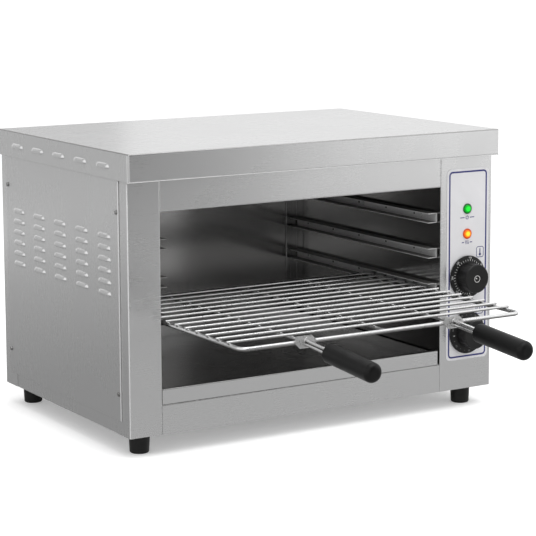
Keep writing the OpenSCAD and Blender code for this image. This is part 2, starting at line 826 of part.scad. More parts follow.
module wire_rack() placed() color(chrome) {
    inner = rack_half - rack_corner_r;
    y_end = y_rack + rack_l;
    straight = rack_l - 2 * rack_corner_r;
    for (side = [-1, 1]) {
        bar_y([x_mid + side * rack_half, y_rack + rack_corner_r, z_rack], rack_wire_d / 2, straight);
        translate([x_mid + side * inner, 0, z_rack]) {
            translate([0, y_rack + rack_corner_r, 0]) rack_corner(side > 0 ? 270 : 180);
            translate([0, y_end - rack_corner_r, 0]) rack_corner(side > 0 ? 0 : 90);
        }
        bar_y([handle_x(side), y_rack, z_rack], bar_d / 2, rack_l);
    }
    for (y = [y_rack, y_end]) bar_x([x_mid - inner, y, z_rack], rack_wire_d / 2, 2 * inner);
    bar_y([x_mid, y_rack, z_rack], bar_d / 2, rack_l);
    reach = rack_half + rack_wire_d / 2 + bar_overhang;
    for (i = [0 : bar_count - 1])
        bar_x([x_mid - reach, y_rack + first_bar + i * bar_pitch, z_bar], bar_d / 2, 2 * reach);
}

module rack_corner(turn) {
    rotate([0, 0, turn]) rotate_extrude(angle = 90)
        translate([rack_corner_r, 0]) circle(r = rack_wire_d / 2);
}

// Face plate of a handle, with its corners cut off
module handle_plate(side) {
    low = z_rack - plate_drop;
    translate([handle_x(side), y_plate, low])
        rotate([90, 0, 0]) linear_extrude(plate_t)
            polygon([
                [-plate_w / 2, plate_cut], [plate_cut - plate_w / 2, 0],
                [plate_w / 2 - plate_cut, 0], [plate_w / 2, plate_cut],
                [plate_w / 2, plate_h - plate_cut], [plate_w / 2 - plate_cut, plate_h],
                [-plate_w / 2, plate_h]
            ]);
}

// Turns +Z to run from the plate down to the front, as a handle does
module stem_place(side) {
    translate([handle_x(side), y_stem, z_rack])
        rotate([90 + stem_tilt, 0, 0]) children();
}

// Two wires, one on the other, that slope down from the plate into the grip
module stem_wires(side, grow, from, l) {
    stem_place(side) for (up = [-1, 1]) translate([0, up * (stem_d + stem_gap) / 2, from])
        cylinder(r = stem_d / 2 + grow, h = l);
}

module handle_wires(side) {
    start = 2;
    difference() {
        stem_wires(side, 0, -start, start + stem_l + stem_depth);
        slab([handle_x(side) - plate_w, y_stem, z_rack - plate_h],
             [handle_x(side) + plate_w, y_stem + 2 * start, z_rack + plate_h]);
    }
}

// Both wires share one hole in the grip: two bores with a slot between them
module grip(side) {
    difference() {
        stem_place(side) translate([0, 0, stem_l]) rotate_extrude() union() {
            translate([0, grip_edge]) square([grip_d / 2, grip_l - grip_edge - grip_nose]);
            square([grip_d / 2 - grip_edge, grip_l - grip_nose]);
            square([grip_d / 2 - grip_nose, grip_l]);
            translate([grip_d / 2 - grip_edge, grip_edge]) mirror([0, 1]) quarter_disc(grip_edge);
            translate([grip_d / 2 - grip_nose, grip_l - grip_nose]) quarter_disc(grip_nose);
        }
        stem_wires(side, hole_gap, stem_l - cut, stem_depth + cut);
        stem_place(side) translate([-stem_d / 4, -stem_d / 2, stem_l - cut])
            cube([stem_d / 2, stem_d, stem_depth + cut]);
    }
}

module handle_plate_left() placed() color(chrome) handle_plate(-1);
module handle_plate_right() placed() color(chrome) handle_plate(1);
module handle_wires_left() placed() color(chrome) handle_wires(-1);
module handle_wires_right() placed() color(chrome) handle_wires(1);
module grip_left() placed() color(black) grip(-1);
module grip_right() placed() color(black) grip(1);

// ---------- Crumb tray ----------

module crumb_tray() placed() color(steel) {
    x0 = x_post + lip_gap_left;
    x1 = x_panel - lip_gap_right;
    z0 = z_floor + tray_gap;
    y1 = y_flange - tray_back_gap;
    lip_top = z_sill + tray_gap + lip_h;
    translate([x0, 0, lip_top]) rotate([90, 0, 90]) mirror([0, 1, 0])
        linear_extrude(x1 - x0) fold_plan(lip_hem, lip_h, tray_t, bend_r);
    slab([x0, tray_t, z0], [x1, y1, z0 + tray_t]);
    for (x = [x0, x1 - tray_t])
        slab([x, tray_t, z0 + tray_t], [x + tray_t, y1, z0 + tray_wall_h]);
    slab([x0, y1 - tray_t, z0 + tray_t], [x1, y1, z0 + tray_back_h]);
}

// ---------- Controls ----------

module label_plate() placed() color(white) difference() {
    translate([x_right - label_side - label_w, 0, z_base + label_low]) rotate([90, 0, 0])
        linear_extrude(label_t) rounded_plan(label_w, label_h, label_r);
    for (z = [thermostat_z, timer_z])
        bar_y([x_control, -label_t - cut, z_base + z], bush_r + hole_gap, label_t + 2 * cut);
    for (z = [power_lamp_z, heat_lamp_z])
        bar_y([x_control, -label_t - cut, z_base + z], lens_neck_d / 2 + hole_gap,
              label_t + 2 * cut);
}

// A switch body behind the panel, with its bush through it
module switch_body(z) {
    difference() {
        union() {
            slab([x_control - switch_w / 2, sheet_t, z_base + z - switch_h / 2],
                 [x_control + switch_w / 2, sheet_t + switch_d, z_base + z + switch_h / 2]);
            bar_y([x_control, y_label - bush_out, z_base + z], bush_r,
                  sheet_t + label_t + bush_out + cut);
        }
        bar_y([x_control, y_label - bush_out - cut, z_base + z], spindle_d / 2 + spindle_fit,
              spindle_in + label_t + bush_out + 2 * cut);
    }
}

// Thin hexagon nuts that hold the switch bodies, in the knobs' recesses
module bush_nuts() placed() color(chrome)
    for (z = [thermostat_z, timer_z]) difference() {
        translate([x_control, y_label, z_base + z]) rotate([90, 0, 0])
            cylinder(r = bush_nut_r, h = bush_nut_t, $fn = 6);
        bar_y([x_control, y_label - bush_nut_t - cut, z_base + z], bush_r + spindle_fit,
              bush_nut_t + 2 * cut);
    }

module spindle(z) {
    y_tip = y_knob_face + spindle_tip;
    difference() {
        bar_y([x_control, y_tip, z_base + z], spindle_d / 2, spindle_in - y_tip);
        slab([x_control - spindle_d, y_tip - cut, z_base + z + spindle_flat],
             [x_control + spindle_d, y_dial - flat_start, z_base + z + spindle_d]);
    }
}

// Dial skirt and cap in one moulding; the outline is [radius, height in front]
module knob(z) {
    face = knob_depth - dial_gap;
    root = dial_rim + skirt_rise;
    flute_x = cap_d / 2 + flute_r - flute_depth;
    difference() {
        translate([x_control, y_dial, z_base + z]) rotate([90, 0, 0]) difference() {
            rotate_extrude() polygon([
                [0, 0], [dial_d / 2 - skirt_edge, 0], [dial_d / 2, skirt_edge],
                [dial_d / 2, dial_rim], [cap_d / 2, root],
                [cap_face_d / 2, face - cap_chamfer], [cap_face_d / 2 - cap_chamfer, face],
                [0, face]
            ]);
            for (i = [0 : flutes - 1]) rotate([0, 0, (i + 0.5) * 360 / flutes])
                translate([flute_x, 0, root]) cylinder(r = flute_r, h = knob_depth);
            translate([0, 0, -cut]) cylinder(r = recess_r, h = recess_d + cut);
        }
        difference() {
            bar_y([x_control, y_knob_face + spindle_tip - spindle_press, z_base + z],
                  spindle_d / 2 + spindle_press, knob_depth);
            slab([x_control - spindle_d, y_knob_face, z_base + z + spindle_flat + spindle_press],
                 [x_control + spindle_d, y_dial - flat_start, z_base + z + spindle_d]);
        }
    }
}

module thermostat_body() placed() color(white) switch_body(thermostat_z);
module timer_body() placed() color(white) switch_body(timer_z);
module thermostat_spindle() placed() color(chrome) spindle(thermostat_z);
module timer_spindle() placed() color(chrome) spindle(timer_z);
module temperature_knob() placed() color(black) knob(thermostat_z);
module timer_knob() placed() color(black) knob(timer_z);

// Bulb under the ceiling, held by two saddles
bulb_drop = 7;
bulb_side = 60;
saddle_w = 6;
saddle_t = 1.5;
saddle_grip = 0.1;
saddle_inset = 15;
y_bulb = y_wall - bulb_drop;
z_bulb = z_ceiling - bulb_drop;
x_bulb = [x_panel - bulb_side - bulb_l, x_panel - bulb_side];

module thermostat_bulb() placed() color(brass) {
    bar_x([x_bulb[0], y_bulb, z_bulb], bulb_d / 2, bulb_l);
    for (x = [x_bulb[0] + saddle_inset, x_bulb[1] - saddle_inset - saddle_w]) difference() {
        slab([x, y_bulb - bulb_d / 2 - saddle_t, z_bulb - bulb_d / 2 - saddle_t],
             [x + saddle_w, y_wall, z_ceiling]);
        bar_x([x - cut, y_bulb, z_bulb], bulb_d / 2 - saddle_grip, saddle_w + 2 * cut);
    }
}

// Thin tube from the bulb through the right wall to the thermostat
capillary_r = 1;
capillary_gap = 0.5;
x_capillary = x_control - 12;
capillary_path = [
    [x_bulb[1], y_bulb, z_bulb], [x_bulb[1] + 20, y_bulb, z_bulb],
    [x_panel - 20, y_bulb, z_bulb], [x_panel, y_bulb, z_bulb],
    [x_panel + 14, y_bulb - 3, z_bulb - 9], [x_panel + 18, y_bulb - 16, z_bulb - 30],
    [x_panel + 20, y_bulb - 50, z_bulb - 54], [x_panel + 20, y_bulb - 100, z_bulb - 80],
    [x_panel + 20, 240, z_base + thermostat_z + 56], [x_panel + 22, 180, z_base + thermostat_z + 28],
    [x_panel + 28, 130, z_base + thermostat_z + 8], [x_capillary, 95, z_base + thermostat_z],
    [x_capillary, 65, z_base + thermostat_z], [x_capillary, y_switch_back, z_base + thermostat_z]
];

module capillary_tube() placed() color(brass) swept(smooth(capillary_path), capillary_r);

module lens(z) {
    bulge = 4;
    ball = (pow(lens_d / 2, 2) + bulge * bulge) / (2 * bulge);
    rim = 1.2;
    translate([x_control, y_label, z_base + z]) rotate([90, 0, 0]) union() {
        cylinder(r = lens_d / 2, h = rim);
        translate([0, 0, rim]) intersection() {
            translate([0, 0, bulge - ball]) sphere(r = ball);
            cylinder(r = lens_d / 2, h = bulge + cut);
        }
        translate([0, 0, -neck_l - label_t]) cylinder(r = lens_neck_d / 2, h = neck_l + label_t);
    }
}

module power_lamp_lens() placed() color([0.3, 0.8, 0.2]) lens(power_lamp_z);
module heat_lamp_lens() placed() color([0.95, 0.5, 0.1]) lens(heat_lamp_z);

module lamp_holders() placed() color(white)
    for (z = [power_lamp_z, heat_lamp_z]) difference() {
        bar_y([x_control, sheet_t, z_base + z], holder_r, holder_l);
        bar_y([x_control, 0, z_base + z], lens_neck_d / 2 + spindle_fit, neck_l + 0.5);
    }

// ---------- Wiring ----------

block_h = 24;
block_w = 66;
block_d = 24;
block_back = 102;
block_y = body_d - block_back - block_d;
poles = 5;
pole_step = block_w / poles;
function pole_x(i) = x_control - block_w / 2 + (i + 0.5) * pole_step;

module terminal_block() placed() color(white) difference() {
    slab([x_control - block_w / 2, block_y, z_base + sheet_t],
         [x_control + block_w / 2, block_y + block_d, z_base + sheet_t + block_h]);
    for (i = [0 : poles - 1])
        bar_z([pole_x(i), block_y + block_d / 2, z_base + sheet_t + block_h - 8], 2.6, 8 + cut);
}

// Each wire leaves square to the face that it is fixed to
wire_r = 1.4;
block_z = z_base + sheet_t + 10;
y_block_end = block_y - wire_off;
z_between_dials = z_base + (timer_z + thermostat_z) / 2;
z_between_lamps = z_base + (heat_lamp_z + power_lamp_z) / 2;
loom_paths = [
    [[pole_x(0), y_block_end, block_z], [pole_x(0), y_block_end - 40, block_z],
     [pole_x(0), 210, z_base + 20], [pole_x(0), 160, z_base + 42],
     [pole_x(0), 110, z_base + timer_z - 14], [pole_x(0), y_switch_back + 28, z_base + timer_z - 6],
     [pole_x(0), y_switch_back, z_base + timer_z - 6]],
    [[pole_x(1), y_block_end, block_z], [pole_x(1), y_block_end - 40, block_z],
     [pole_x(1), 215, z_base + 32], [pole_x(1), 175, z_base + 70],
     [pole_x(1), 135, z_base + 116], [pole_x(1), 100, z_base + thermostat_z - 24],
     [pole_x(1), y_switch_back + 28, z_base + thermostat_z - 14],
     [pole_x(1), y_switch_back, z_base + thermostat_z - 14]],
    [[pole_x(2), y_switch_back, z_base + timer_z + 12],
     [pole_x(2), y_switch_back + 22, z_base + timer_z + 15], [pole_x(2), 72, z_between_dials],
     [pole_x(2), y_switch_back + 22, z_base + thermostat_z - 15],
     [pole_x(2), y_switch_back, z_base + thermostat_z - 12]],
    [[pole_x(3), y_switch_back, z_base + thermostat_z + 12],
     [pole_x(3), y_switch_back + 18, z_base + thermostat_z + 15],
     [pole_x(3) - 4, 62, z_base + heat_lamp_z - 26],
     [x_control + 4, y_holder_back + 22, z_base + heat_lamp_z - 4],
     [x_control + 4, y_holder_back, z_base + heat_lamp_z]],
    [[x_control, y_holder_back, z_base + heat_lamp_z + 5],
     [x_control, y_holder_back + 14, z_base + heat_lamp_z + 8], [x_control, 48, z_between_lamps],
     [x_control, y_holder_back + 14, z_base + power_lamp_z - 8],
     [x_control, y_holder_back, z_base + power_lamp_z - 5]]
];

module wiring_loom() placed() color([0.7, 0.2, 0.15])
    for (path = loom_paths) swept(smooth(path), wire_r);

// Smooth curve through a list of points
function blend(a, b, c, d, t) = 0.5 * (2 * b + (c - a) * t
    + (2 * a - 5 * b + 4 * c - d) * t * t + (3 * b - a - 3 * c + d) * t * t * t);
function smooth(p, steps = 5) = [
    for (i = [0 : len(p) - 2], k = [0 : steps - 1])
        blend(i == 0 ? 2 * p[0] - p[1] : p[i - 1], p[i], p[i + 1],
              i == len(p) - 2 ? 2 * p[i + 1] - p[i] : p[i + 2], k / steps),
    p[len(p) - 1]
];

// A tube with eight sides along a list of points
function unit(v) = v / norm(v);
function tangent(p, i) = unit(p[min(i + 1, len(p) - 1)] - p[max(i - 1, 0)]);
function square_off(v, t) = unit(v - (v * t) * t);
function first_side(t) = square_off(abs(t[0]) < 0.7 ? [1, 0, 0] : [0, 0, 1], t);
function sides(p) = [
    for (i = 0, s = first_side(tangent(p, 0)); i < len(p);
         i = i + 1, s = i < len(p) ? square_off(s, tangent(p, i)) : s) s
];
module swept(p, r) {
    n = 8;
    side = sides(p);
    points = [
        for (i = [0 : len(p) - 1], k = [0 : n - 1])
            p[i] + r * (cos(360 * k / n) * side[i] + sin(360 * k / n) * cross(tangent(p, i), side[i]))
    ];
    faces = concat(
        [[for (k = [0 : n - 1]) k]],
        [[for (k = [n - 1 : -1 : 0]) (len(p) - 1) * n + k]],
        [for (i = [0 : len(p) - 2], k = [0 : n - 1])
            [i * n + k, (i + 1) * n + k, (i + 1) * n + (k + 1) % n, i * n + (k + 1) % n]]
    );
    polyhedron(points, faces);
}

// ---------- Back fittings, feet and fasteners ----------

module cable_gland() placed() color(black) {
    at = [x_gland, body_d, z_base + gland_z];
    shank = sheet_t + gland_nut_t + 6;
    difference() {
        translate(at) rotate([-90, 0, 0]) union() {
            cylinder(r = gland_thread_d / 2 + 3.5, h = gland_hex_t, $fn = 6);
            translate([0, 0, gland_hex_t]) cylinder(r1 = gland_thread_d / 2 + 1.5,
                r2 = gland_bore_d / 2 + 3, h = gland_dome);
            translate([0, 0, -shank]) cylinder(r = gland_thread_d / 2, h = shank);
        }
        translate(at) rotate([-90, 0, 0]) translate([0, 0, -shank - cut])
            cylinder(r = gland_bore_d / 2, h = shank + gland_out + 2 * cut);
    }
}

module gland_nut() placed() color(black) difference() {
    translate([x_gland, body_d - sheet_t, z_base + gland_z]) rotate([90, 0, 0])
        cylinder(r = gland_thread_d / 2 + 4, h = gland_nut_t, $fn = 6);
    bar_y([x_gland, body_d - sheet_t - gland_nut_t - cut, z_base + gland_z],
          gland_thread_d / 2 + spindle_fit, gland_nut_t + 2 * cut);
}

// Bolt on the base pan with a nut, for the earth wire
stud_side = 26;
stud_back = 60;

module earth_stud() placed() color(brass) {
    at = [x_right - stud_side, body_d - stud_back, z_base + sheet_t];
    bar_z(at, 2.5, 18);
    translate(at) cylinder(r = 4.6, h = 4, $fn = 6);
    bar_z(at + [0, 0, 8], 5, 1);
    translate(at + [0, 0, 9]) cylinder(r = 4.6, h = 4, $fn = 6);
}

module foot(x, y) {
    sole = foot_sole_d / 2;
    difference() {
        translate([x, y, 0]) rotate_extrude() polygon([
            [0, 0], [sole - foot_edge, 0], [sole, foot_edge], [foot_top_d / 2, foot_h], [0, foot_h]
        ]);
        bar_z([x, y, -cut], foot_recess_r, foot_recess_h + cut);
        bar_z([x, y, 0], foot_screw_d / 2 + hole_gap, foot_h + cut);
    }
}

module foot_front_left() placed() color(black) foot(foot_x_places[0], foot_y_places[0]);
module foot_front_right() placed() color(black) foot(foot_x_places[1], foot_y_places[0]);
module foot_back_left() placed() color(black) foot(foot_x_places[0], foot_y_places[1]);
module foot_back_right() placed() color(black) foot(foot_x_places[1], foot_y_places[1]);

// Screw up through each foot, with its nut on the base pan
module foot_fasteners() placed() color(chrome)
    for (x = foot_x_places, y = foot_y_places) {
        head = 3.5;
        nut = 4;
        bar_z([x, y, foot_recess_h - head], foot_screw_d / 2 + 2, head);
        bar_z([x, y, foot_recess_h], foot_screw_d / 2, foot_h - foot_recess_h + sheet_t + nut + 2);
        difference() {
            translate([x, y, z_base + sheet_t]) cylinder(r = foot_screw_d / 2 + 2.2, h = nut, $fn = 6);
            bar_z([x, y, z_base], foot_screw_d / 2 + 0.02, nut + 2 * cut + sheet_t);
        }
    }

// Pan head screw along +X from the face that its head sits on
module screw_x(at) {
    bar_x(at - [screw_head_h, 0, 0], screw_head_d / 2, screw_head_h);
    bar_x(at, screw_d / 2 - 0.02, screw_l);
}

module panel_screws() placed() color(chrome) {
    for (y = screw_y_places, z = screw_z_places, side = [0, 1])
        mirror([side, 0, 0]) screw_x([x_left, y, z]);
    for (x = back_screw_x) {
        translate([x, body_d, z_base + back_screw_low]) rotate([0, 0, -90]) screw_x([0, 0, 0]);
        translate([x, body_d + overhang_back, z_cover_screw]) rotate([0, 0, -90]) screw_x([0, 0, 0]);
    }
}

top_cover();
left_post();
control_panel();
top_fascia();
bottom_fascia();
base_pan();
left_side_panel();
right_side_panel();
back_panel();
chamber_left_wall();
chamber_right_wall();
chamber_back_wall();
chamber_ceiling();
chamber_floor();
rail_left_low();
rail_left_middle();
rail_left_high();
rail_right_low();
rail_right_middle();
rail_right_high();
rail_rivets();
heater_front();
heater_middle();
heater_back();
heater_nuts();
heater_hangers();
ceiling_blanket();
left_blanket();
wire_rack();
handle_plate_left();
handle_plate_right();
handle_wires_left();
handle_wires_right();
grip_left();
grip_right();
crumb_tray();
label_plate();
thermostat_body();
thermostat_spindle();
temperature_knob();
thermostat_bulb();
capillary_tube();
timer_body();
timer_spindle();
timer_knob();
bush_nuts();
power_lamp_lens();
heat_lamp_lens();
lamp_holders();
terminal_block();
wiring_loom();
cable_gland();
gland_nut();
earth_stud();
foot_front_left();
foot_front_right();
foot_back_left();
foot_back_right();
foot_fasteners();
panel_screws();
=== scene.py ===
"""Finish of a countertop cheese melter: brushed steel cabinet, dark chamber, chrome rack,
black dials and grips, a printed label plate and two lit lamps. Lengths are in metres."""

import math

import bmesh
import bpy
from mathutils import Matrix, Vector


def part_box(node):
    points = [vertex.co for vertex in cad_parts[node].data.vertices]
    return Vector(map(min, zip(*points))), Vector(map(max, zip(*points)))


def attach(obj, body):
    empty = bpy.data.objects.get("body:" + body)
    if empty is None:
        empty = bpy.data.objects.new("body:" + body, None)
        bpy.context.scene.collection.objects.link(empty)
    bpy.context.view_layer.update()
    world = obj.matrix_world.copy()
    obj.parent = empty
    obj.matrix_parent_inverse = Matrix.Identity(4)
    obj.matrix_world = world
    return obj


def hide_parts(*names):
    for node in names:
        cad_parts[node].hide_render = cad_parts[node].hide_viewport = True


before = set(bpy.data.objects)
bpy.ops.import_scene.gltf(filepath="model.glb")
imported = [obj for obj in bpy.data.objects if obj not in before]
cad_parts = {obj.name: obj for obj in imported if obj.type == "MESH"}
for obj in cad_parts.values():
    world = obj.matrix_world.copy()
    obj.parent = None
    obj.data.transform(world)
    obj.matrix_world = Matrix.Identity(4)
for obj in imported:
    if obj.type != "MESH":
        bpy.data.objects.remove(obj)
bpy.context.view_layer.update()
MM = 0.001


def node_centre(node):
    low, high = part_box(node)
    return (low + high) / 2


def new_object(name, data):
    """An object in the scene, which shows the mesh, curve, lamp or camera in data."""
    made = bpy.data.objects.new(name, data)
    bpy.context.collection.objects.link(made)
    return made


def facing(at, towards, axis):
    """Matrix that stands a thing at a place, with one of its axes towards a point."""
    aim = (Vector(towards) - Vector(at)).to_track_quat(axis, "Y")
    return Matrix.Translation(at) @ aim.to_matrix().to_4x4()


# ---------- Shader helpers ----------

def set_inputs(node, values):
    """Plugs sockets and sets plain values on a node, by socket name or number."""
    tree = node.id_data
    for key, value in values.items():
        socket = node.inputs[key]
        if isinstance(value, bpy.types.NodeSocket):
            tree.links.new(value, socket)
        else:
            socket.default_value = value


def add_node(tree, kind, values=None, **settings):
    node = tree.nodes.new(kind)
    for key, value in settings.items():
        setattr(node, key, value)
    set_inputs(node, values or {})
    return node


def math_node(tree, operation, a, b=0.0, clamp=False):
    node = add_node(tree, "ShaderNodeMath", {0: a, 1: b}, operation=operation, use_clamp=clamp)
    return node.outputs[0]


def times(tree, a, b):
    return math_node(tree, "MULTIPLY", a, b)


def remap(tree, value, low, high, to_low=0.0, to_high=1.0):
    node = add_node(tree, "ShaderNodeMapRange", {
        "Value": value, "From Min": low, "From Max": high, "To Min": to_low, "To Max": to_high})
    return node.outputs["Result"]


def mix_colour(tree, share, a, b):
    node = add_node(tree, "ShaderNodeMix", data_type="RGBA")
    set_inputs(node, {0: share, 6: a, 7: b})
    return node.outputs[2]


def fill_ramp(ramp, stops, interpolation="LINEAR"):
    """Sets the stops of a colour ramp; each is a place from 0 to 1 and a colour."""
    ramp.color_ramp.interpolation = interpolation
    points = ramp.color_ramp.elements
    while len(points) < len(stops):
        points.new(1.0)
    for point, (place, colour) in zip(points, stops):
        point.position = place
        point.color = (*colour, 1.0)


def bump(tree, height, distance, strength, over=None):
    """Relief on a surface; over is the normal that it is laid on, if not the plain one."""
    node = add_node(tree, "ShaderNodeBump", {
        "Height": height, "Distance": distance, "Strength": strength})
    if over:
        set_inputs(node, {"Normal": over})
    return node.outputs["Normal"]


def place_on_piece(tree):
    return add_node(tree, "ShaderNodeTexCoord").outputs["Object"]


def surface(tree, what):
    """The Normal or the Position of the surface, in the axes of the scene."""
    return add_node(tree, "ShaderNodeNewGeometry").outputs[what]


def one_axis(tree, vector, axis):
    return add_node(tree, "ShaderNodeSeparateXYZ", {0: vector}).outputs[axis]


def noise(tree, where, scale, detail, roughness=0.5, distortion=0.0):
    return add_node(tree, "ShaderNodeTexNoise", {
        "Vector": where, "Scale": scale, "Detail": detail, "Roughness": roughness,
        "Distortion": distortion}).outputs["Fac"]


def grey(level, warmth=0.0):
    """A neutral colour; warmth shifts it a little from blue to red."""
    return (level + warmth, level, level - warmth, 1.0)


def scaled(colour, share):
    return tuple(min(1.0, c * share) for c in colour[:3]) + (1.0,)


def new_group(name, inputs, outputs):
    """A shader node group with its sockets; inputs and outputs map names to socket types."""
    tree = bpy.data.node_groups.new(name, "ShaderNodeTree")
    for socket, kind in inputs.items():
        tree.interface.new_socket(name=socket, in_out="INPUT", socket_type=kind)
    for socket, kind in outputs.items():
        tree.interface.new_socket(name=socket, in_out="OUTPUT", socket_type=kind)
    return tree, tree.nodes.new("NodeGroupInput"), tree.nodes.new("NodeGroupOutput")


def use_group(tree, group, **values):
    """Places a shader node group with its own values and returns its outputs."""
    node = tree.nodes.new("ShaderNodeGroup")
    node.node_tree = group
    set_inputs(node, values)
    return node.outputs


FLOAT = "NodeSocketFloat"
VECTOR = "NodeSocketVector"


def make_brushing():
    """Fine streaks of brushed sheet: along X on most faces, up and down on the ends."""
    tree, inside, out = new_group(
        "brushing", {"Fineness": FLOAT, "Length": FLOAT}, {"Streaks": FLOAT, "Bands": FLOAT})
    facing_x = one_axis(tree, surface(tree, "Normal"), "X")
    on_end = remap(tree, math_node(tree, "ABSOLUTE", facing_x), 0.6, 0.8)
    across = inside.outputs["Fineness"]
    along = math_node(tree, "DIVIDE", across, inside.outputs["Length"])
    lengthwise = add_node(tree, "ShaderNodeCombineXYZ", {"X": along, "Y": across, "Z": across})
    upright = add_node(tree, "ShaderNodeCombineXYZ", {"X": across, "Y": across, "Z": along})
    scale = add_node(tree, "ShaderNodeMix", data_type="VECTOR")
    set_inputs(scale, {0: on_end, 4: lengthwise.outputs[0], 5: upright.outputs[0]})
    stretched = add_node(tree, "ShaderNodeVectorMath", {
        0: place_on_piece(tree), 1: scale.outputs[1]}, operation="MULTIPLY").outputs[0]
    streaks = noise(tree, stretched, 1.0, 3.0, roughness=0.6)
    broad = add_node(tree, "ShaderNodeVectorMath", {0: stretched, "Scale": 0.07},
                     operation="SCALE").outputs[0]
    set_inputs(out, {"Streaks": streaks, "Bands": noise(tree, broad, 1.0, 2.0)})
    return tree


def make_rounded_edges():
    """Normals that run smoothly round a fold or a cut edge, and a mask of where they turn, on
    which the materials paint highlights. Edges that look up keep the plain normal and get no
    mask. Fold is 1 on the bends between an upright face and one that looks up; the materials
    paint shade there."""
    tree, inside, out = new_group("rounded_edges", {"Radius": FLOAT, "Gain": FLOAT},
                                  {"Edge": FLOAT, "Fold": FLOAT, "Normal": VECTOR})
    rounded = add_node(tree, "ShaderNodeBevel", {"Radius": inside.outputs["Radius"]}, samples=6)
    plain = surface(tree, "Normal")
    up = one_axis(tree, rounded.outputs[0], "Z")
    kept = remap(tree, up, 0.10, 0.03)
    agree = add_node(tree, "ShaderNodeVectorMath", {0: rounded.outputs[0], 1: plain},
                     operation="DOT_PRODUCT").outputs["Value"]
    turned = math_node(tree, "SUBTRACT", 1.0, agree)
    gain = math_node(tree, "MULTIPLY", turned, inside.outputs["Gain"], clamp=True)
    normal = add_node(tree, "ShaderNodeMix", data_type="VECTOR")
    set_inputs(normal, {0: kept, 4: plain, 5: rounded.outputs[0]})
    lean = one_axis(tree, plain, "Z")
    fold = times(tree, remap(tree, lean, 0.08, 0.2), remap(tree, lean, 0.98, 0.9))
    set_inputs(out, {"Edge": times(tree, gain, kept), "Fold": fold, "Normal": normal.outputs[1]})
    return tree


def make_joint_grime():
    """1 in the corners and gaps where shade falls, 0 on open faces; the materials darken these as
    painted shade.
    """
    tree, inside, out = new_group("joint_shade", {"Reach": FLOAT}, {"Shade": FLOAT})
    open_sky = add_node(tree, "ShaderNodeAmbientOcclusion", {
        "Distance": inside.outputs["Reach"]}, samples=6).outputs["AO"]
    set_inputs(out, {"Shade": remap(tree, open_sky, 0.95, 0.35)})
    return tree


def make_handling():
    """Soft clouds and wipe marks left by hands and cloths, from 0 to 1."""
    tree, inside, out = new_group("handling", {"Size": FLOAT}, {"Clouds": FLOAT, "Specks": FLOAT})
    where = place_on_piece(tree)
    size = inside.outputs["Size"]
    clouds = noise(tree, where, size, 4.0, distortion=0.8)
    specks = noise(tree, where, times(tree, size, 90.0), 2.0)
    set_inputs(out, {"Clouds": remap(tree, clouds, 0.35, 0.68),
                     "Specks": remap(tree, specks, 0.66, 0.78)})
    return tree


def make_moulded_skin():
    """Fine spark-eroded texture of moulded plastic and rubber."""
    tree, inside, out = new_group("moulded_skin", {"Fineness": FLOAT}, {"Height": FLOAT})
    where, fineness = place_on_piece(tree), inside.outputs["Fineness"]
    grains = add_node(tree, "ShaderNodeTexVoronoi", {
        "Vector": where, "Scale": fineness}).outputs["Distance"]
    mixed = math_node(tree, "ADD", grains, noise(tree, where, fineness, 2.0))
    set_inputs(out, {"Height": times(tree, mixed, 0.5)})
    return tree


BRUSHING = make_brushing()
ROUNDED_EDGES = make_rounded_edges()
JOINT_SHADE = make_joint_grime()
HANDLING = make_handling()
MOULDED_SKIN = make_moulded_skin()


def new_material(name):
    material = bpy.data.materials.new(name)
    material.use_nodes = True
    tree = material.node_tree
    return material, tree, tree.nodes["Principled BSDF"]


# ---------- Metals ----------

def sheet_metal(name, colour, roughness, fineness=3200.0, length=90.0, streak=0.012,
                edge_light=1.0, edge_radius=0.0014, clouds=0.03, gap_shade=0.22, relief=0.008,
                metal=1.0, level_shade=0.0, shade_folds_above=None):
    """Brushed sheet: faint streaks and bands, wipe marks, painted highlights on folds and edges,
    and painted shade in joints. A share of painted shade darkens the faces that lie level, and
    bends that look up get painted shade from a given height on."""
    material, tree, shader = new_material(name)
    brushing = use_group(tree, BRUSHING, Fineness=fineness, Length=length)
    marks = use_group(tree, HANDLING, Size=7.0)
    edge = use_group(tree, ROUNDED_EDGES, Radius=edge_radius, Gain=4.0)
    gap = use_group(tree, JOINT_SHADE, Reach=0.007)["Shade"]
    darker = scaled(colour, 1.0 - streak)
    streaked = mix_colour(tree, remap(tree, brushing["Streaks"], 0.3, 0.7), darker, colour)
    banded = mix_colour(tree, times(tree, brushing["Bands"], streak), streaked, darker)
    wiped = mix_colour(tree, times(tree, marks["Clouds"], clouds), banded, grey(0.3, 0.01))
    # Painted shade in the corners and gaps, from the shade mask.
    shaded = mix_colour(tree, times(tree, gap, gap_shade), wiped, grey(0.12, 0.004))
    # Painted shade on the faces that lie level.
    if level_shade:
        up = one_axis(tree, surface(tree, "Normal"), "Z")
        level = remap(tree, math_node(tree, "ABSOLUTE", up), 0.6, 0.9, 0.0, level_shade)
        shaded = mix_colour(tree, level, shaded, grey(0.03, 0.003))
    # Painted shade on bends that look up, above the given height.
    if shade_folds_above is not None:
        height = one_axis(tree, surface(tree, "Position"), "Z")
        fold_shade = times(tree, edge["Fold"],
                       remap(tree, height, shade_folds_above, shade_folds_above + MM, 0.0, 0.6))
        shaded = mix_colour(tree, fold_shade, shaded, grey(0.12, 0.004))
    metallic = metal
    # Painted highlight: the edges take a lighter colour and a little less metal.
    if edge_light:
        lit = tuple(min(1.0, c + 0.25) for c in colour[:3]) + (1.0,)
        shaded = mix_colour(tree, times(tree, edge["Edge"], edge_light), shaded, lit)
        metallic = remap(tree, edge["Edge"], 0.0, 1.0, metal, metal * (1.0 - 0.3 * edge_light))
    set_inputs(shader, {
        "Base Color": shaded,
        "Metallic": metallic,
        "Roughness": math_node(tree, "ADD", remap(
            tree, brushing["Streaks"], 0.3, 0.7, roughness * 0.97, roughness * 1.04),
            times(tree, marks["Clouds"], roughness * 0.12)),
        "Normal": bump(tree, brushing["Streaks"], 0.00002, relief, over=edge["Normal"]),
    })
    return material


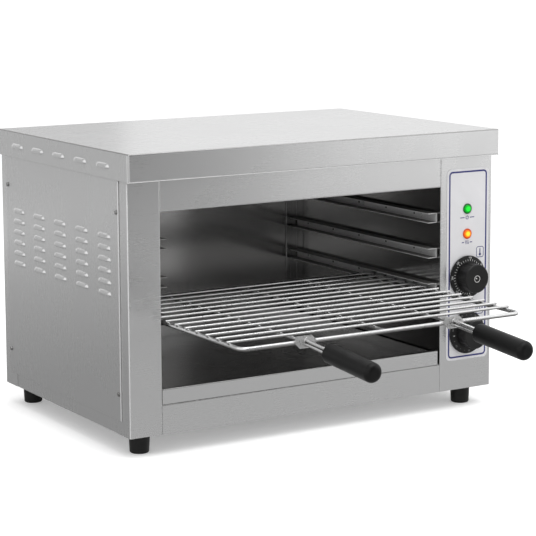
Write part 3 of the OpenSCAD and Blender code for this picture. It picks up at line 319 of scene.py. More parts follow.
def bright_wire(name, colour, roughness, pits=0.3, relief=0.00005, underside=0.85):
    """Plated wire and plate: bright, with dull specks, pits where it was welded, and painted
    shade on the underside and in the joints."""
    material, tree, shader = new_material(name)
    marks = use_group(tree, HANDLING, Size=14.0)
    gap = use_group(tree, JOINT_SHADE, Reach=0.003)["Shade"]
    coarse = noise(tree, place_on_piece(tree), 420.0, 3.0, distortion=1.0)
    pitted = times(tree, remap(tree, coarse, 0.56, 0.66), pits)
    clouded = mix_colour(tree, times(tree, marks["Clouds"], 0.10), colour, grey(0.45, 0.01))
    # Painted shade: darker towards the underside, and in the joints.
    up = one_axis(tree, surface(tree, "Normal"), "Z")
    underside_shade = remap(tree, up, 0.1, -0.5, 0.0, underside)
    painted_wire_shade = math_node(tree, "MAXIMUM", underside_shade, times(tree, gap, 0.6))
    dark = math_node(tree, "MAXIMUM", pitted, painted_wire_shade)
    set_inputs(shader, {
        "Base Color": mix_colour(tree, dark, clouded, grey(0.06, 0.006)),
        "Metallic": 1.0,
        "Roughness": remap(tree, marks["Clouds"], 0.0, 1.0, roughness, roughness * 1.5),
        "Normal": bump(tree, coarse, relief, 0.6),
    })
    return material


def heater_sheath():
    """Tube darkened by heat, with straw and blue tints in bands along it."""
    material, tree, shader = new_material("heater_sheath")
    across = one_axis(tree, place_on_piece(tree), "X")
    marks = use_group(tree, HANDLING, Size=20.0)
    place = math_node(tree, "ADD", across, times(tree, marks["Clouds"], 0.05))
    ramp = add_node(tree, "ShaderNodeValToRGB", {0: remap(tree, place, -0.28, 0.26)})
    fill_ramp(ramp, [(0.0, (0.10, 0.09, 0.085)), (0.35, (0.16, 0.13, 0.11)),
                     (0.7, (0.12, 0.12, 0.125)), (0.9, (0.27, 0.22, 0.17)),
                     (0.96, (0.5, 0.5, 0.5))])
    set_inputs(shader, {
        "Base Color": mix_colour(tree, times(tree, marks["Specks"], 0.4), ramp.outputs[0],
                                 grey(0.3, 0.05)),
        "Metallic": 0.85,
        "Roughness": remap(tree, marks["Clouds"], 0.0, 1.0, 0.42, 0.6),
        "Normal": bump(tree, marks["Clouds"], 0.0001, 0.4),
    })
    return material


def small_metal(name, colour, roughness, tarnish):
    """Turned or pressed small parts: fine turning marks, clouds of tarnish, and painted
    highlights on the edges.
    """
    material, tree, shader = new_material(name)
    marks = use_group(tree, HANDLING, Size=60.0)
    edge = use_group(tree, ROUNDED_EDGES, Radius=0.0004, Gain=3.0)["Edge"]
    stained = mix_colour(tree, times(tree, marks["Clouds"], 0.5), colour, tarnish)
    # Painted highlight: the edges take a lighter copy of the colour.
    edge_highlight = scaled(colour, 1.25)
    set_inputs(shader, {
        "Base Color": mix_colour(tree, times(tree, edge, 0.6), stained, edge_highlight),
        "Metallic": 1.0,
        "Roughness": remap(tree, marks["Clouds"], 0.0, 1.0, roughness, roughness + 0.15),
        "Normal": bump(tree, marks["Specks"], 0.00005, 0.5),
    })
    return material


# ---------- Plastics, rubber, film, wool ----------

def moulding(name, colour, roughness, fineness=2500.0, depth=0.00006, edge_lift=0.15, dust=0.08,
             shine=0.3):
    """Moulded part: fine skin, edges a little lighter, and a trace of dust."""
    material, tree, shader = new_material(name)
    skin = use_group(tree, MOULDED_SKIN, Fineness=fineness)["Height"]
    marks = use_group(tree, HANDLING, Size=25.0)
    edge = use_group(tree, ROUNDED_EDGES, Radius=0.0006, Gain=2.0)["Edge"]
    # The edges are lightened along the rounded-edge mask.
    lighter = tuple(min(1.0, c + 0.10) for c in colour[:3]) + (1.0,)
    lighter_edges = mix_colour(tree, times(tree, edge, edge_lift), colour, lighter)
    set_inputs(shader, {
        "Base Color": mix_colour(tree, times(tree, marks["Clouds"], dust), lighter_edges,
                                 grey(0.28, 0.01)),
        "Specular IOR Level": shine,
        "Roughness": remap(tree, marks["Clouds"], 0.0, 1.0, roughness, roughness + 0.12),
        "Normal": bump(tree, skin, depth, 0.6),
    })
    return material


def printed_film(name, colour, roughness):
    """Satin film of the label plate, and the inks on it."""
    material, tree, shader = new_material(name)
    marks = use_group(tree, HANDLING, Size=12.0)
    skin = use_group(tree, MOULDED_SKIN, Fineness=5000.0)["Height"]
    set_inputs(shader, {
        "Base Color": mix_colour(tree, marks["Clouds"], colour, scaled(colour, 0.93)),
        "Roughness": remap(tree, marks["Clouds"], 0.0, 1.0, roughness, roughness + 0.1),
        "Normal": bump(tree, skin, 0.00002, 0.3),
    })
    return material


HEART_LEFT = 1.3 * MM
HEART_UP = 0.3 * MM


def lit_lens(name, node, rim, middle, heart, glow):
    """Lens with a lamp behind it: bright in the middle and deep in colour at the rim."""
    centre = node_centre(node)
    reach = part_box(node)[1].x - centre.x
    material, tree, shader = new_material(name)
    where = place_on_piece(tree)
    off_x = math_node(tree, "SUBTRACT", one_axis(tree, where, "X"), centre.x - HEART_LEFT)
    off_z = math_node(tree, "SUBTRACT", one_axis(tree, where, "Z"), centre.z + HEART_UP)
    squares = math_node(tree, "ADD", times(tree, off_x, off_x), times(tree, off_z, off_z))
    radius = math_node(tree, "SQRT", squares)
    facets = add_node(tree, "ShaderNodeTexVoronoi", {
        "Vector": where, "Scale": 900.0}).outputs["Distance"]
    ragged = math_node(tree, "ADD", radius, times(tree, facets, 0.5 * MM))
    ramp = add_node(tree, "ShaderNodeValToRGB", {0: remap(tree, ragged, 0.0, reach)})
    fill_ramp(ramp, [(0.0, heart), (0.34, heart), (0.62, middle), (0.92, rim)])
    set_inputs(shader, {
        "Base Color": mix_colour(tree, 0.75, ramp.outputs[0], grey(0.0)),
        "Roughness": remap(tree, facets, 0.0, 1.0, 0.2, 0.35),
        "Emission Color": ramp.outputs[0],
        "Emission Strength": glow,
        "Specular IOR Level": 0.25,
    })
    return material


def mineral_wool():
    """Yellowish felted fibres, matted in clumps."""
    material, tree, shader = new_material("mineral_wool")
    where = place_on_piece(tree)
    fibres = noise(tree, where, 420.0, 6.0, roughness=0.8, distortion=2.5)
    height = math_node(tree, "ADD", fibres, noise(tree, where, 40.0, 3.0))
    ramp = add_node(tree, "ShaderNodeValToRGB", {0: times(tree, height, 0.5)})
    fill_ramp(ramp, [(0.3, (0.42, 0.36, 0.22)), (0.5, (0.68, 0.62, 0.44)),
                     (0.7, (0.8, 0.76, 0.62))])
    set_inputs(shader, {"Base Color": ramp.outputs[0], "Roughness": 0.95, "Sheen Weight": 0.3,
                        "Normal": bump(tree, height, 0.0015, 0.9)})
    return material


def wire_covering():
    """Silicone covering; each wire of the loom lies in its own place along X."""
    material, tree, shader = new_material("wire_covering")
    low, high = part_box("wiring_loom")
    across = one_axis(tree, place_on_piece(tree), "X")
    ramp = add_node(tree, "ShaderNodeValToRGB", {0: remap(tree, across, low.x, high.x)})
    fill_ramp(ramp, [(0.0, (0.35, 0.05, 0.03)), (0.2, (0.04, 0.09, 0.3)),
                     (0.4, (0.6, 0.58, 0.52)), (0.62, (0.3, 0.05, 0.03))], "CONSTANT")
    marks = use_group(tree, HANDLING, Size=30.0)
    set_inputs(shader, {
        "Base Color": mix_colour(tree, times(tree, marks["Clouds"], 0.2), ramp.outputs[0],
                                 grey(0.25)),
        "Roughness": remap(tree, marks["Clouds"], 0.0, 1.0, 0.4, 0.6),
        "Normal": bump(tree, marks["Clouds"], 0.00005, 0.4),
    })
    return material


# ---------- Materials on the nodes of the frame ----------

LABEL_INK = (0.030, 0.033, 0.20, 1.0)
DIAL_INK = (0.75, 0.75, 0.74, 1.0)

steel = sheet_metal("brushed_steel", grey(0.80, -0.001), 0.26, edge_radius=0.002)
cover_steel = sheet_metal("cover_steel", grey(0.80, -0.001), 0.26,
                          shade_folds_above=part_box("top_cover")[1].z - 5 * MM)
fascia_steel = sheet_metal("fascia_steel", grey(0.80, -0.001), 0.26, edge_light=0.2,
                           edge_radius=0.0006, shade_folds_above=0.0)
bright_steel = sheet_metal("bright_steel", grey(0.86, -0.001), 0.22)
# Painted highlight: a lighter, half-metal copy of the sheet steel, so that the hems and bends
# show as bright lines; it has strong painted shade in its joints.
hem_highlight_steel = sheet_metal("hem_highlight_steel", grey(0.92, -0.001), 0.30, edge_light=0.0,
                        edge_radius=0.0002, gap_shade=0.5, metal=0.35)
liner = sheet_metal("liner_steel", grey(0.46, 0.004), 0.16, fineness=1500.0, length=25.0,
                    streak=0.04, clouds=0.12, relief=0.01, edge_light=0.9)
# Painted shade: a darker copy of the liner steel for the side walls and floor of the chamber.
shaded_liner = sheet_metal("shaded_liner", grey(0.32, 0.002), 0.13, fineness=1500.0,
                           length=25.0, streak=0.04, clouds=0.12, relief=0.01)
rail_metal = sheet_metal("rail_steel", grey(0.90, 0.002), 0.42, fineness=2200.0, streak=0.08,
                         edge_light=0.7, edge_radius=0.0006, metal=0.12, level_shade=0.85)
tray_metal = sheet_metal("tray_steel", grey(0.80, -0.001), 0.24, edge_light=0.1,
                         edge_radius=0.0005, level_shade=0.75, shade_folds_above=0.0)
# Painted shade: a darker copy of the rail steel for the rails on the left.
dark_rail = sheet_metal("shaded_rail", grey(0.30, 0.002), 0.42, fineness=2200.0, streak=0.08,
                        edge_light=0.2, edge_radius=0.0006, metal=0.12, level_shade=0.85)
chrome = bright_wire("chrome_wire", grey(0.84, -0.002), 0.24)
stem_chrome = bright_wire("stem_chrome", grey(0.90, -0.002), 0.08)
weld_metal = bright_wire("weld_metal", grey(0.80), 0.30, pits=0.8, relief=0.0006,
                         underside=0.5)
plated = small_metal("plated_steel", grey(0.68), 0.26, grey(0.3, 0.02))
screw_steel = small_metal("screw_steel", grey(0.45), 0.10, grey(0.10, 0.01))
brass = small_metal("brass", (0.72, 0.52, 0.24, 1.0), 0.28, (0.3, 0.19, 0.08, 1.0))
copper = small_metal("copper_tube", (0.74, 0.38, 0.24, 1.0), 0.3, (0.27, 0.13, 0.08, 1.0))
grip_plastic = moulding("grip_plastic", grey(0.005), 0.34, edge_lift=0.3, dust=0.01, shine=0.22)
knob_plastic = moulding("knob_plastic", grey(0.010), 0.36, edge_lift=0.3, dust=0.02)
foot_rubber = moulding("foot_rubber", grey(0.007), 0.32, fineness=1500.0, depth=0.00015,
                       dust=0.03)
# Painted shade: near-black, for holes drawn as discs.
hole_shade = moulding("hole_shade", grey(0.006), 0.8, edge_lift=0.0, dust=0.1)
white_nylon = moulding("switch_plastic", (0.72, 0.70, 0.63, 1.0), 0.42, dust=0.12)
black_nylon = moulding("gland_plastic", grey(0.03), 0.42)
label_film = printed_film("label_film", (0.87, 0.865, 0.885, 1.0), 0.34)
label_ink = printed_film("label_ink", LABEL_INK, 0.4)
dial_ink = printed_film("dial_ink", DIAL_INK, 0.5)
faint_ink = printed_film("faint_dial_ink", grey(0.22), 0.5)
green_lens = lit_lens("green_lens", "power_lamp_lens", (0.0, 0.045, 0.006), (0.0, 0.40, 0.02),
                      (0.02, 1.0, 0.05), 0.95)
amber_lens = lit_lens("amber_lens", "heat_lamp_lens", (0.40, 0.035, 0.003),
                      (1.0, 0.18, 0.006), (1.0, 0.80, 0.05), 0.95)

FINISHES = [
    (cover_steel, ["top_cover"]),
    (fascia_steel, ["bottom_fascia"]),
    (steel, ["left_post", "control_panel", "top_fascia", "base_pan", "left_side_panel",
             "right_side_panel"]),
    (bright_steel, ["back_panel"]),
    (liner, ["chamber_back_wall", "chamber_ceiling"]),
    (shaded_liner, ["chamber_left_wall", "chamber_right_wall", "chamber_floor"]),
    (dark_rail, ["rail_left_low", "rail_left_middle", "rail_left_high"]),
    (rail_metal, ["rail_right_low", "rail_right_middle", "rail_right_high", "rail_rivets",
                  "heater_hangers"]),
    (tray_metal, ["crumb_tray"]),
    (chrome, ["wire_rack"]),
    (stem_chrome, ["handle_wires_left", "handle_wires_right"]),
    (weld_metal, ["handle_plate_left", "handle_plate_right"]),
    (heater_sheath(), ["heater_front", "heater_middle", "heater_back"]),
    (plated, ["thermostat_spindle", "timer_spindle", "bush_nuts",
              "foot_fasteners", "panel_screws"]),
    (brass, ["heater_nuts", "earth_stud"]),
    (copper, ["thermostat_bulb", "capillary_tube"]),
    (grip_plastic, ["grip_left", "grip_right"]),
    (knob_plastic, ["temperature_knob", "timer_knob"]),
    (foot_rubber, ["foot_front_left", "foot_front_right", "foot_back_left",
                   "foot_back_right"]),
    (white_nylon, ["thermostat_body", "timer_body", "lamp_holders", "terminal_block"]),
    (black_nylon, ["cable_gland", "gland_nut"]),
    (label_film, ["label_plate"]),
    (green_lens, ["power_lamp_lens"]),
    (amber_lens, ["heat_lamp_lens"]),
    (mineral_wool(), ["ceiling_blanket", "left_blanket"]),
    (wire_covering(), ["wiring_loom"]),
]


def paint(piece, material):
    if not piece.material_slots:
        piece.data.materials.append(material)
    for held in piece.material_slots:
        held.material = material


for material, nodes in FINISHES:
    for name in nodes:
        paint(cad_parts[name], material)


# ---------- Flat prints ----------

def place_piece(name, mesh, material, body):
    """Puts a finished mesh in the scene, riding on a body of the frame."""
    piece = new_object(name, mesh)
    mesh.materials.clear()
    mesh.materials.append(material)
    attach(piece, body)
    return piece


def arc(centre, radius, start, end, steps):
    """Points on an arc; angles in degrees, clockwise from straight up."""
    turns = [math.radians(start + (end - start) * i / steps) for i in range(steps + 1)]
    return [(centre[0] + radius * math.sin(t), centre[1] + radius * math.cos(t)) for t in turns]


def circle(centre, radius, steps=48):
    return arc(centre, radius, 0, 360, steps)[:-1]


def rounded_box(centre, width, height, radius):
    """Outline of a box with round corners."""
    steps = 8
    points = []
    for side_x, side_y, start in ((1, 1, 0), (1, -1, 90), (-1, -1, 180), (-1, 1, 270)):
        corner = (centre[0] + side_x * (width / 2 - radius),
                  centre[1] + side_y * (height / 2 - radius))
        points += arc(corner, radius, start, start + 90, steps)
    return points


def stroke(points, width):
    """Outline of a line of even width along the points."""
    left, right = [], []
    for i, point in enumerate(points):
        before = Vector(points[max(i - 1, 0)])
        after = Vector(points[min(i + 1, len(points) - 1)])
        along = (after - before).normalized()
        side = Vector((-along.y, along.x)) * (width / 2)
        left.append(Vector(point) + side)
        right.append(Vector(point) - side)
    return [tuple(p) for p in left + right[::-1]]


def box_ring(centre, width, height, radius, line):
    return [rounded_box(centre, width, height, radius),
            rounded_box(centre, width - 2 * line, height - 2 * line, radius - line)]


def ring(centre, radius, line):
    return [circle(centre, radius + line / 2), circle(centre, radius - line / 2)]


def curve_to_mesh(curve, name):
    """Turns a filled curve into a mesh of its own."""
    holder = new_object(name + "_outline", curve)
    bpy.context.view_layer.update()
    seen = holder.evaluated_get(bpy.context.evaluated_depsgraph_get())
    mesh = bpy.data.meshes.new_from_object(seen)
    mesh.name = name
    bpy.data.objects.remove(holder)
    bpy.data.curves.remove(curve)
    return mesh


def flat_mesh(name, outlines, thickness):
    """A thin filled shape in the XY plane; an outline inside another is a hole."""
    curve = bpy.data.curves.new(name, "CURVE")
    curve.dimensions = "2D"
    curve.fill_mode = "BOTH"
    curve.extrude = thickness / 2
    for outline in outlines:
        spline = curve.splines.new("POLY")
        spline.points.add(len(outline) - 1)
        spline.use_cyclic_u = True
        for point, (x, y) in zip(spline.points, outline):
            point.co = (x, y, 0.0, 1.0)
    return curve_to_mesh(curve, name)


def figure_mesh(text, height, thickness):
    """Plain figures, centred on the origin of the XY plane."""
    curve = bpy.data.curves.new("figures", "FONT")
    curve.body = text
    curve.size = height * 1.4
    curve.align_x = "CENTER"
    curve.align_y = "CENTER"
    curve.extrude = thickness / 2
    curve.resolution_u = 3
    return curve_to_mesh(curve, "figures_" + text)


FACE_FRONT = Matrix.Rotation(math.radians(90), 4, "X")
INK = 0.06 * MM
SIGN_LINE = 1.0 * MM

label_low, label_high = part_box("label_plate")
label_middle = node_centre("label_plate")
lamp_x = node_centre("power_lamp_lens").x


def print_on_label(name, outlines):
    """Ink on the label plate; outlines are X and Z in the frame."""
    mesh = flat_mesh(name, outlines, INK)
    mesh.transform(Matrix.Translation((0, label_low.y - INK / 2, 0)) @ FACE_FRONT)
    place_piece(name, mesh, label_ink, "cabinet")


def label_border():
    """Blue line round the label, the same way in from each side of the plate."""
    inset, line, corner = 3.6 * MM, 2.6 * MM, 6.5 * MM
    width = label_high.x - label_low.x - 2 * inset
    height = label_high.z - label_low.z - 2 * inset
    print_on_label("label_border",
                   box_ring((label_middle.x, label_middle.z), width, height, corner, line))


def sign_with_bars(name, at, reach, sign_reach, shapes):
    """A sign with a short bar on each side of it; reach is half of the row's width."""
    line = 1.3 * MM
    bars = [stroke([(at[0] + side * sign_reach, at[1]), (at[0] + side * reach, at[1])], line)
            for side in (-1, 1)]
    print_on_label(name, shapes + bars)


def power_sign():
    """Open ring with an upright line through the gap."""
    below_lamp, radius, upright_height = 13.6 * MM, 2.5 * MM, 3.6 * MM
    gap = 38
    at = (lamp_x, node_centre("power_lamp_lens").z - below_lamp)
    open_ring = stroke(arc(at, radius, gap, 360 - gap, 30), SIGN_LINE)
    upright = stroke([at, (at[0], at[1] + upright_height)], SIGN_LINE)
    sign_with_bars("power_sign", at, reach=13.5 * MM, sign_reach=5.0 * MM,
                   shapes=[open_ring, upright])


def heat_sign():
    """Three rising waves."""
    below_lamp, pitch, line = 13.4 * MM, 2.4 * MM, 0.9 * MM
    height, sway, steps = 5.6 * MM, 0.6 * MM, 12
    at = (lamp_x, node_centre("heat_lamp_lens").z - below_lamp)
    waves = []
    for place in (-pitch, 0.0, pitch):
        wave = [(at[0] + place + sway * math.sin(i / steps * 2 * math.pi),
                 at[1] + (i / steps - 0.5) * height) for i in range(steps + 1)]
        waves.append(stroke(wave, line))
    sign_with_bars("heat_sign", at, reach=10.0 * MM, sign_reach=5.4 * MM, shapes=waves)


def framed_sign(name, knob, rise):
    """Rounded frame of a sign, above a dial and to its right. Returns the sign's middle."""
    right, width, height, corner = 25.2 * MM, 14.2 * MM, 17.2 * MM, 3.5 * MM
    dial = node_centre(knob)
    centre = (dial.x + right, dial.z + rise)
    print_on_label(name, box_ring(centre, width, height, corner, SIGN_LINE))
    return centre


def thermometer_sign():
    """Thermometer in a frame, beside the upper dial."""
    x, y = framed_sign("thermometer_frame", "temperature_knob", rise=36.7 * MM)
    bulb_drop, bulb_r = 4.0 * MM, 2.1 * MM
    stem_rise, stem_width, stem_height, stem_corner = 0.6 * MM, 1.7 * MM, 9.6 * MM, 0.8 * MM
    print_on_label("thermometer_stem",
                   [rounded_box((x, y + stem_rise), stem_width, stem_height, stem_corner)])
    print_on_label("thermometer_bulb", [circle((x, y - bulb_drop), bulb_r)])


def clock_sign():
    """Clock face in a frame, beside the lower dial."""
    x, y = framed_sign("clock_frame", "timer_knob", rise=35.0 * MM)
    rim_r, long_hand, short_hand = 4.3 * MM, 3.0 * MM, 2.4 * MM
    print_on_label("clock_rim", ring((x, y), rim_r, SIGN_LINE))
    print_on_label("clock_hand_long", [stroke([(x, y + long_hand), (x, y)], SIGN_LINE)])
    print_on_label("clock_hand_short", [stroke([(x, y), (x + short_hand, y)], SIGN_LINE)])


label_border()
power_sign()
heat_sign()
thermometer_sign()
clock_sign()


# ---------- Dial marks ----------

SKIRT_R = 33.0 * MM
CAP_R = 23.0 * MM
RIM_T = 2.4 * MM
SKIRT_RISE = 2.0 * MM
FIGURE_HEIGHT = 2.9 * MM


def lay_on_skirt(mesh, centre, back):
    """Lays a mesh drawn in the XY plane on the sloping skirt of a dial."""
    for vertex in mesh.vertices:
        x, up, lift = vertex.co
        slope = (SKIRT_R - math.hypot(x, up)) / (SKIRT_R - CAP_R)
        front = back - RIM_T - SKIRT_RISE * max(0.0, min(1.0, slope))
        vertex.co = (centre.x + x, front - INK / 2 - lift, centre.z + up)


def join_meshes(name, meshes):
    joined = bmesh.new()
    for mesh in meshes:
        joined.from_mesh(mesh)
        bpy.data.meshes.remove(mesh)
    result = bpy.data.meshes.new(name)
    joined.to_mesh(result)
    joined.free()
    return result


def dial_point(angle, radius):
    turn = math.radians(angle)
    return (radius * math.sin(turn), radius * math.cos(turn))


def skirt_marks(dial, kind, meshes, ink):
    """Joins marks into one piece on the skirt of a dial, which turns with it."""
    name, knob = "%s_%s" % (dial, kind), dial + "_knob"
    mesh = join_meshes(name, meshes)
    lay_on_skirt(mesh, node_centre(knob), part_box(knob)[1].y)
    place_piece(name, mesh, ink, dial + "_dial")


def figures_round(values, first, step, radius):
    """Figures round a dial, each with its foot towards the middle."""
    meshes = []
    for i, value in enumerate(values):
        angle = first + i * step
        mesh = figure_mesh(str(value), FIGURE_HEIGHT, INK)
        x, up = dial_point(angle, radius)
        turn = Matrix.Rotation(-math.radians(angle), 4, "Z")
        mesh.transform(Matrix.Translation((x, up, 0)) @ turn)
        meshes.append(mesh)
    return meshes


def dash_mesh(angle, inner, outer, width):
    """A line that points away from the middle of a dial."""
    line = stroke([dial_point(angle, inner), dial_point(angle, outer)], width)
    return flat_mesh("dash", [line], INK)


def temperature_marks():
    """Figures with five finer steps from each to the next; each step has a tick."""
    values, first, step, finer = range(50, 301, 50), 55, -48, 5
    inner, outer, bold, fine = 25.1 * MM, 27.7 * MM, 0.8 * MM, 0.6 * MM
    ticks = [dash_mesh(first + i * step / finer, inner, outer, fine if i % finer else bold)
             for i in range((len(values) - 1) * finer + 1)]
    skirt_marks("temperature", "ticks", ticks, dial_ink)
    figures = figures_round(values, first, step, radius=30.1 * MM)
    skirt_marks("temperature", "figures", figures, dial_ink)


def timer_marks():
    """Figures with two dots between each and the next, and a dash where the timer is off."""
    values, first, step, finer = range(10, 61, 10), 84, -54, 3
    dot_r, dots_r = 0.55 * MM, 28.0 * MM
    dots = [flat_mesh("dot", [circle(dial_point(first + i * step / finer, dots_r), dot_r, 12)],
                      INK)
            for i in range((len(values) - 1) * finer + 1) if i % finer]
    skirt_marks("timer", "dots", dots, faint_ink)
    figures = figures_round(values, first, step, radius=28.8 * MM)
    skirt_marks("timer", "figures", figures, faint_ink)
    off_mark = dash_mesh(angle=-96, inner=25.4 * MM, outer=28.6 * MM, width=0.9 * MM)
    skirt_marks("timer", "off_mark", [off_mark], dial_ink)


def print_on_knob(dial, kind, outlines, ink):
    """Ink or paint on the flat face of a knob, drawn from the middle of the face."""
    name, knob = "%s_%s" % (dial, kind), dial + "_knob"
    place = node_centre(knob)
    place.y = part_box(knob)[0].y - INK / 2
    mesh = flat_mesh(name, outlines, INK)
    mesh.transform(Matrix.Translation(place) @ FACE_FRONT)
    place_piece(name, mesh, ink, dial + "_dial")


def face_marks(dial):
    """Bold ring in the middle of a knob's face, with a short pointer inside it."""
    ring_r, line = 5.0 * MM, 0.8 * MM
    angle, inner, outer, pointer_line = -60, 0.4 * MM, 3.2 * MM, 1.5 * MM
    pointer = stroke([dial_point(angle, inner), dial_point(angle, outer)], pointer_line)
    print_on_knob(dial, "face_marks", ring((0, 0), ring_r, line) + [pointer], dial_ink)


def knob_pit():
    """Small blind hole in the face of the upper knob, to the right of the ring, drawn as a black
    disc of painted shade.
    """
    right, up, pit_r = 9.0 * MM, 1.4 * MM, 1.3 * MM
    print_on_knob("temperature", "pit", [circle((right, up), pit_r, 20)], hole_shade)


temperature_marks()
timer_marks()
face_marks("temperature")
face_marks("timer")


# ---------- Screws, welds, holes and hems ----------

def separate_solids(node):
    """Lowest and highest corner of each separate solid of a node."""
    source = bmesh.new()
    source.from_mesh(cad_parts[node].data)
    bmesh.ops.remove_doubles(source, verts=source.verts, dist=0.005 * MM)
    unseen = set(source.verts)
    boxes = []
    while unseen:
        waiting = [unseen.pop()]
        solid = []
        while waiting:
            vertex = waiting.pop()
            solid.append(vertex.co.copy())
            for edge in vertex.link_edges:
                other = edge.other_vert(vertex)
                if other in unseen:
                    unseen.remove(other)
                    waiting.append(other)
        boxes.append((Vector([min(co[i] for co in solid) for i in range(3)]),
                      Vector([max(co[i] for co in solid) for i in range(3)])))
    source.free()
    return sorted(boxes, key=lambda box: tuple(round(v, 4) for v in box[0]))


def skin_rings(mesh, rings):
    """Joins rings of points of equal count into a closed skin; the end rings are filled."""
    loops = [[mesh.verts.new(point) for point in points] for points in rings]
    count = len(loops[0])
    for near, far in zip(loops, loops[1:]):
        for i in range(count):
            j = (i + 1) % count
            mesh.faces.new((near[i], near[j], far[j], far[i]))
    mesh.faces.new(loops[0][::-1])
    mesh.faces.new(loops[-1])


def smooth_mesh(name, mesh):
    """Makes a smooth mesh from a bmesh, which is freed."""
    bmesh.ops.recalc_face_normals(mesh, faces=mesh.faces)
    for face in mesh.faces:
        face.smooth = True
    result = bpy.data.meshes.new(name)
    mesh.to_mesh(result)
    mesh.free()
    return result


# Shares of a screw head's radius; DOME and RECESS_DEPTH are shares of its height.
HEAD_RISE = 0.62
HEAD_RINGS = (0.97, 0.85, 0.7, 0.56, 0.5, 0.42, 0.3, 0.2, 0.14, 0.08)
SHANK_R = 0.58
DOME = 0.45
RECESS_REACH = 0.52
RECESS_ARM = 0.13
RECESS_DEPTH = 0.55


def screw_mesh(radius, rise, shank_r, length):
    """Pan head screw with a cross recess, its head on the plane z = 0 and looking to +Z."""
    steps, foot_share, side_share = 48, 0.98, 0.25
    turns = [2 * math.pi * i / steps for i in range(steps)]

    def ring_at(r, z):
        return [(r * math.cos(t), r * math.sin(t), z) for t in turns]

    def top_of_head(r, t):
        dome = rise * (1 - DOME + DOME * math.sqrt(max(0.0, 1 - (r / radius) ** 2)))
        x, y = abs(r * math.cos(t)) / radius, abs(r * math.sin(t)) / radius
        in_cross = min(x, y) < RECESS_ARM and max(x, y) < RECESS_REACH
        return dome - (rise * RECESS_DEPTH if in_cross else 0.0)

    rings = [ring_at(shank_r, -length), ring_at(shank_r, 0.0),
             ring_at(radius * foot_share, 0.0), ring_at(radius, rise * side_share)]
    for r in (radius * share for share in HEAD_RINGS):
        rings.append([(r * math.cos(t), r * math.sin(t), top_of_head(r, t)) for t in turns])
    mesh = bmesh.new()
    skin_rings(mesh, rings)
    return smooth_mesh("screw", mesh)


def panel_screws():
    """Screws of the side panels and the back, each with its recess turned its own way."""
    first_turn, turn_step = 17, 41
    meshes = []
    for number, (low, high) in enumerate(separate_solids("panel_screws")):
        size, seat = high - low, (low + high) / 2
        axis = 0 if size.x > size.y else 1
        sign = -1.0 if axis == 0 and seat.x < 0 else 1.0
        outward = Vector((0, 0, 0))
        outward[axis] = sign
        head_r = size.z / 2
        rise = head_r * HEAD_RISE
        seat[axis] = (high if sign > 0 else low)[axis] - sign * rise
        mesh = screw_mesh(head_r, rise, head_r * SHANK_R, size[axis] - rise)
        spin = Matrix.Rotation(math.radians(first_turn + turn_step * number), 4, "Z")
        stand = outward.to_track_quat("Z", "X").to_matrix().to_4x4()
        mesh.transform(Matrix.Translation(seat) @ stand @ spin)
        meshes.append(mesh)
    piece = place_piece("pan_head_screws", join_meshes("pan_head_screws", meshes), screw_steel,
                        "cabinet")
    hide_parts("panel_screws")


RACK_SIDE_R = 3.0 * MM
RACK_BAR_R = 2.0 * MM


def weld_drop(mesh, at, size):
    """A flattened drop of weld metal. Its lumps depend on where along X it sits."""
    lumps = 0.12
    made = bmesh.ops.create_icosphere(mesh, subdivisions=2, radius=1.0)
    for vertex in made["verts"]:
        co = vertex.co
        wave = math.sin(5.0 * co.x + 31 * at[0] + 3.0 * co.y) * math.cos(4.0 * co.z)
        ripple = 1.0 + lumps * wave
        vertex.co = (at[0] + co.x * size[0] * ripple, at[1] + co.y * size[1] * ripple,
                     at[2] + co.z * size[2])


def rack_welds():
    """Where each bar of the rack is welded to the wires under it, and where the inner wires
    end on the outer one."""
    first_bar, bar_pitch, overhang, sink = 32.0 * MM, 28.6 * MM, 1.3 * MM, 0.2 * MM
    crossing = (2.5 * MM, 2.5 * MM, 1.2 * MM)
    wire_end = (2.9 * MM, 3.6 * MM, 2.4 * MM)
    low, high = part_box("wire_rack")
    front, back = low.y + RACK_SIDE_R, high.y - RACK_SIDE_R
    rack_z = low.z + RACK_SIDE_R
    sides = [low.x + overhang + RACK_SIDE_R, high.x - overhang - RACK_SIDE_R]
    inner = [(low.x + high.x) / 2, node_centre("handle_plate_left").x,
             node_centre("handle_plate_right").x]
    lengthwise = [(x, RACK_SIDE_R) for x in sides] + [(x, RACK_BAR_R) for x in inner]
    mesh = bmesh.new()
    y = front + first_bar
    while y < back:
        for x, wire_r in lengthwise:
            weld_drop(mesh, (x, y, rack_z + wire_r - sink), crossing)
        y += bar_pitch
    for x in inner:
        for end in (front, back):
            weld_drop(mesh, (x, end, rack_z), wire_end)
    place_piece("rack_welds", smooth_mesh("rack_welds", mesh), chrome, "rack")


def handle_weld(side):
    """Uneven bead round two handle wires, where they meet their plate."""
    low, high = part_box("handle_plate_" + side)
    centre = Vector(((low.x + high.x) / 2, low.y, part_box("wire_rack")[0].z + RACK_SIDE_R))
    half_width, half_height = 2.7 * MM, 5.4 * MM
    bead_r, long_lumps, short_lumps = 1.15 * MM, 0.35 * MM, 0.2 * MM
    steps, sides = 28, 10
    round_bead = [2 * math.pi * k / sides for k in range(sides)]
    mesh = bmesh.new()
    loops = []
    for t in (2 * math.pi * i / steps for i in range(steps)):
        thick = bead_r + long_lumps * math.sin(5 * t + 1.0) + short_lumps * math.sin(9 * t)
        middle = Vector((half_width * math.cos(t), 0.0, half_height * math.sin(t)))
        out, front = middle.normalized(), Vector((0, -1, 0))
        loops.append([mesh.verts.new(centre + middle + out * thick * math.cos(u)
                                     + front * thick * math.sin(u)) for u in round_bead])
    for near, far in zip(loops, loops[1:] + loops[:1]):
        for k in range(sides):
            m = (k + 1) % sides
            mesh.faces.new((near[k], near[m], far[m], far[k]))
    name = "handle_weld_" + side
    place_piece(name, smooth_mesh(name, mesh), weld_metal, "rack")


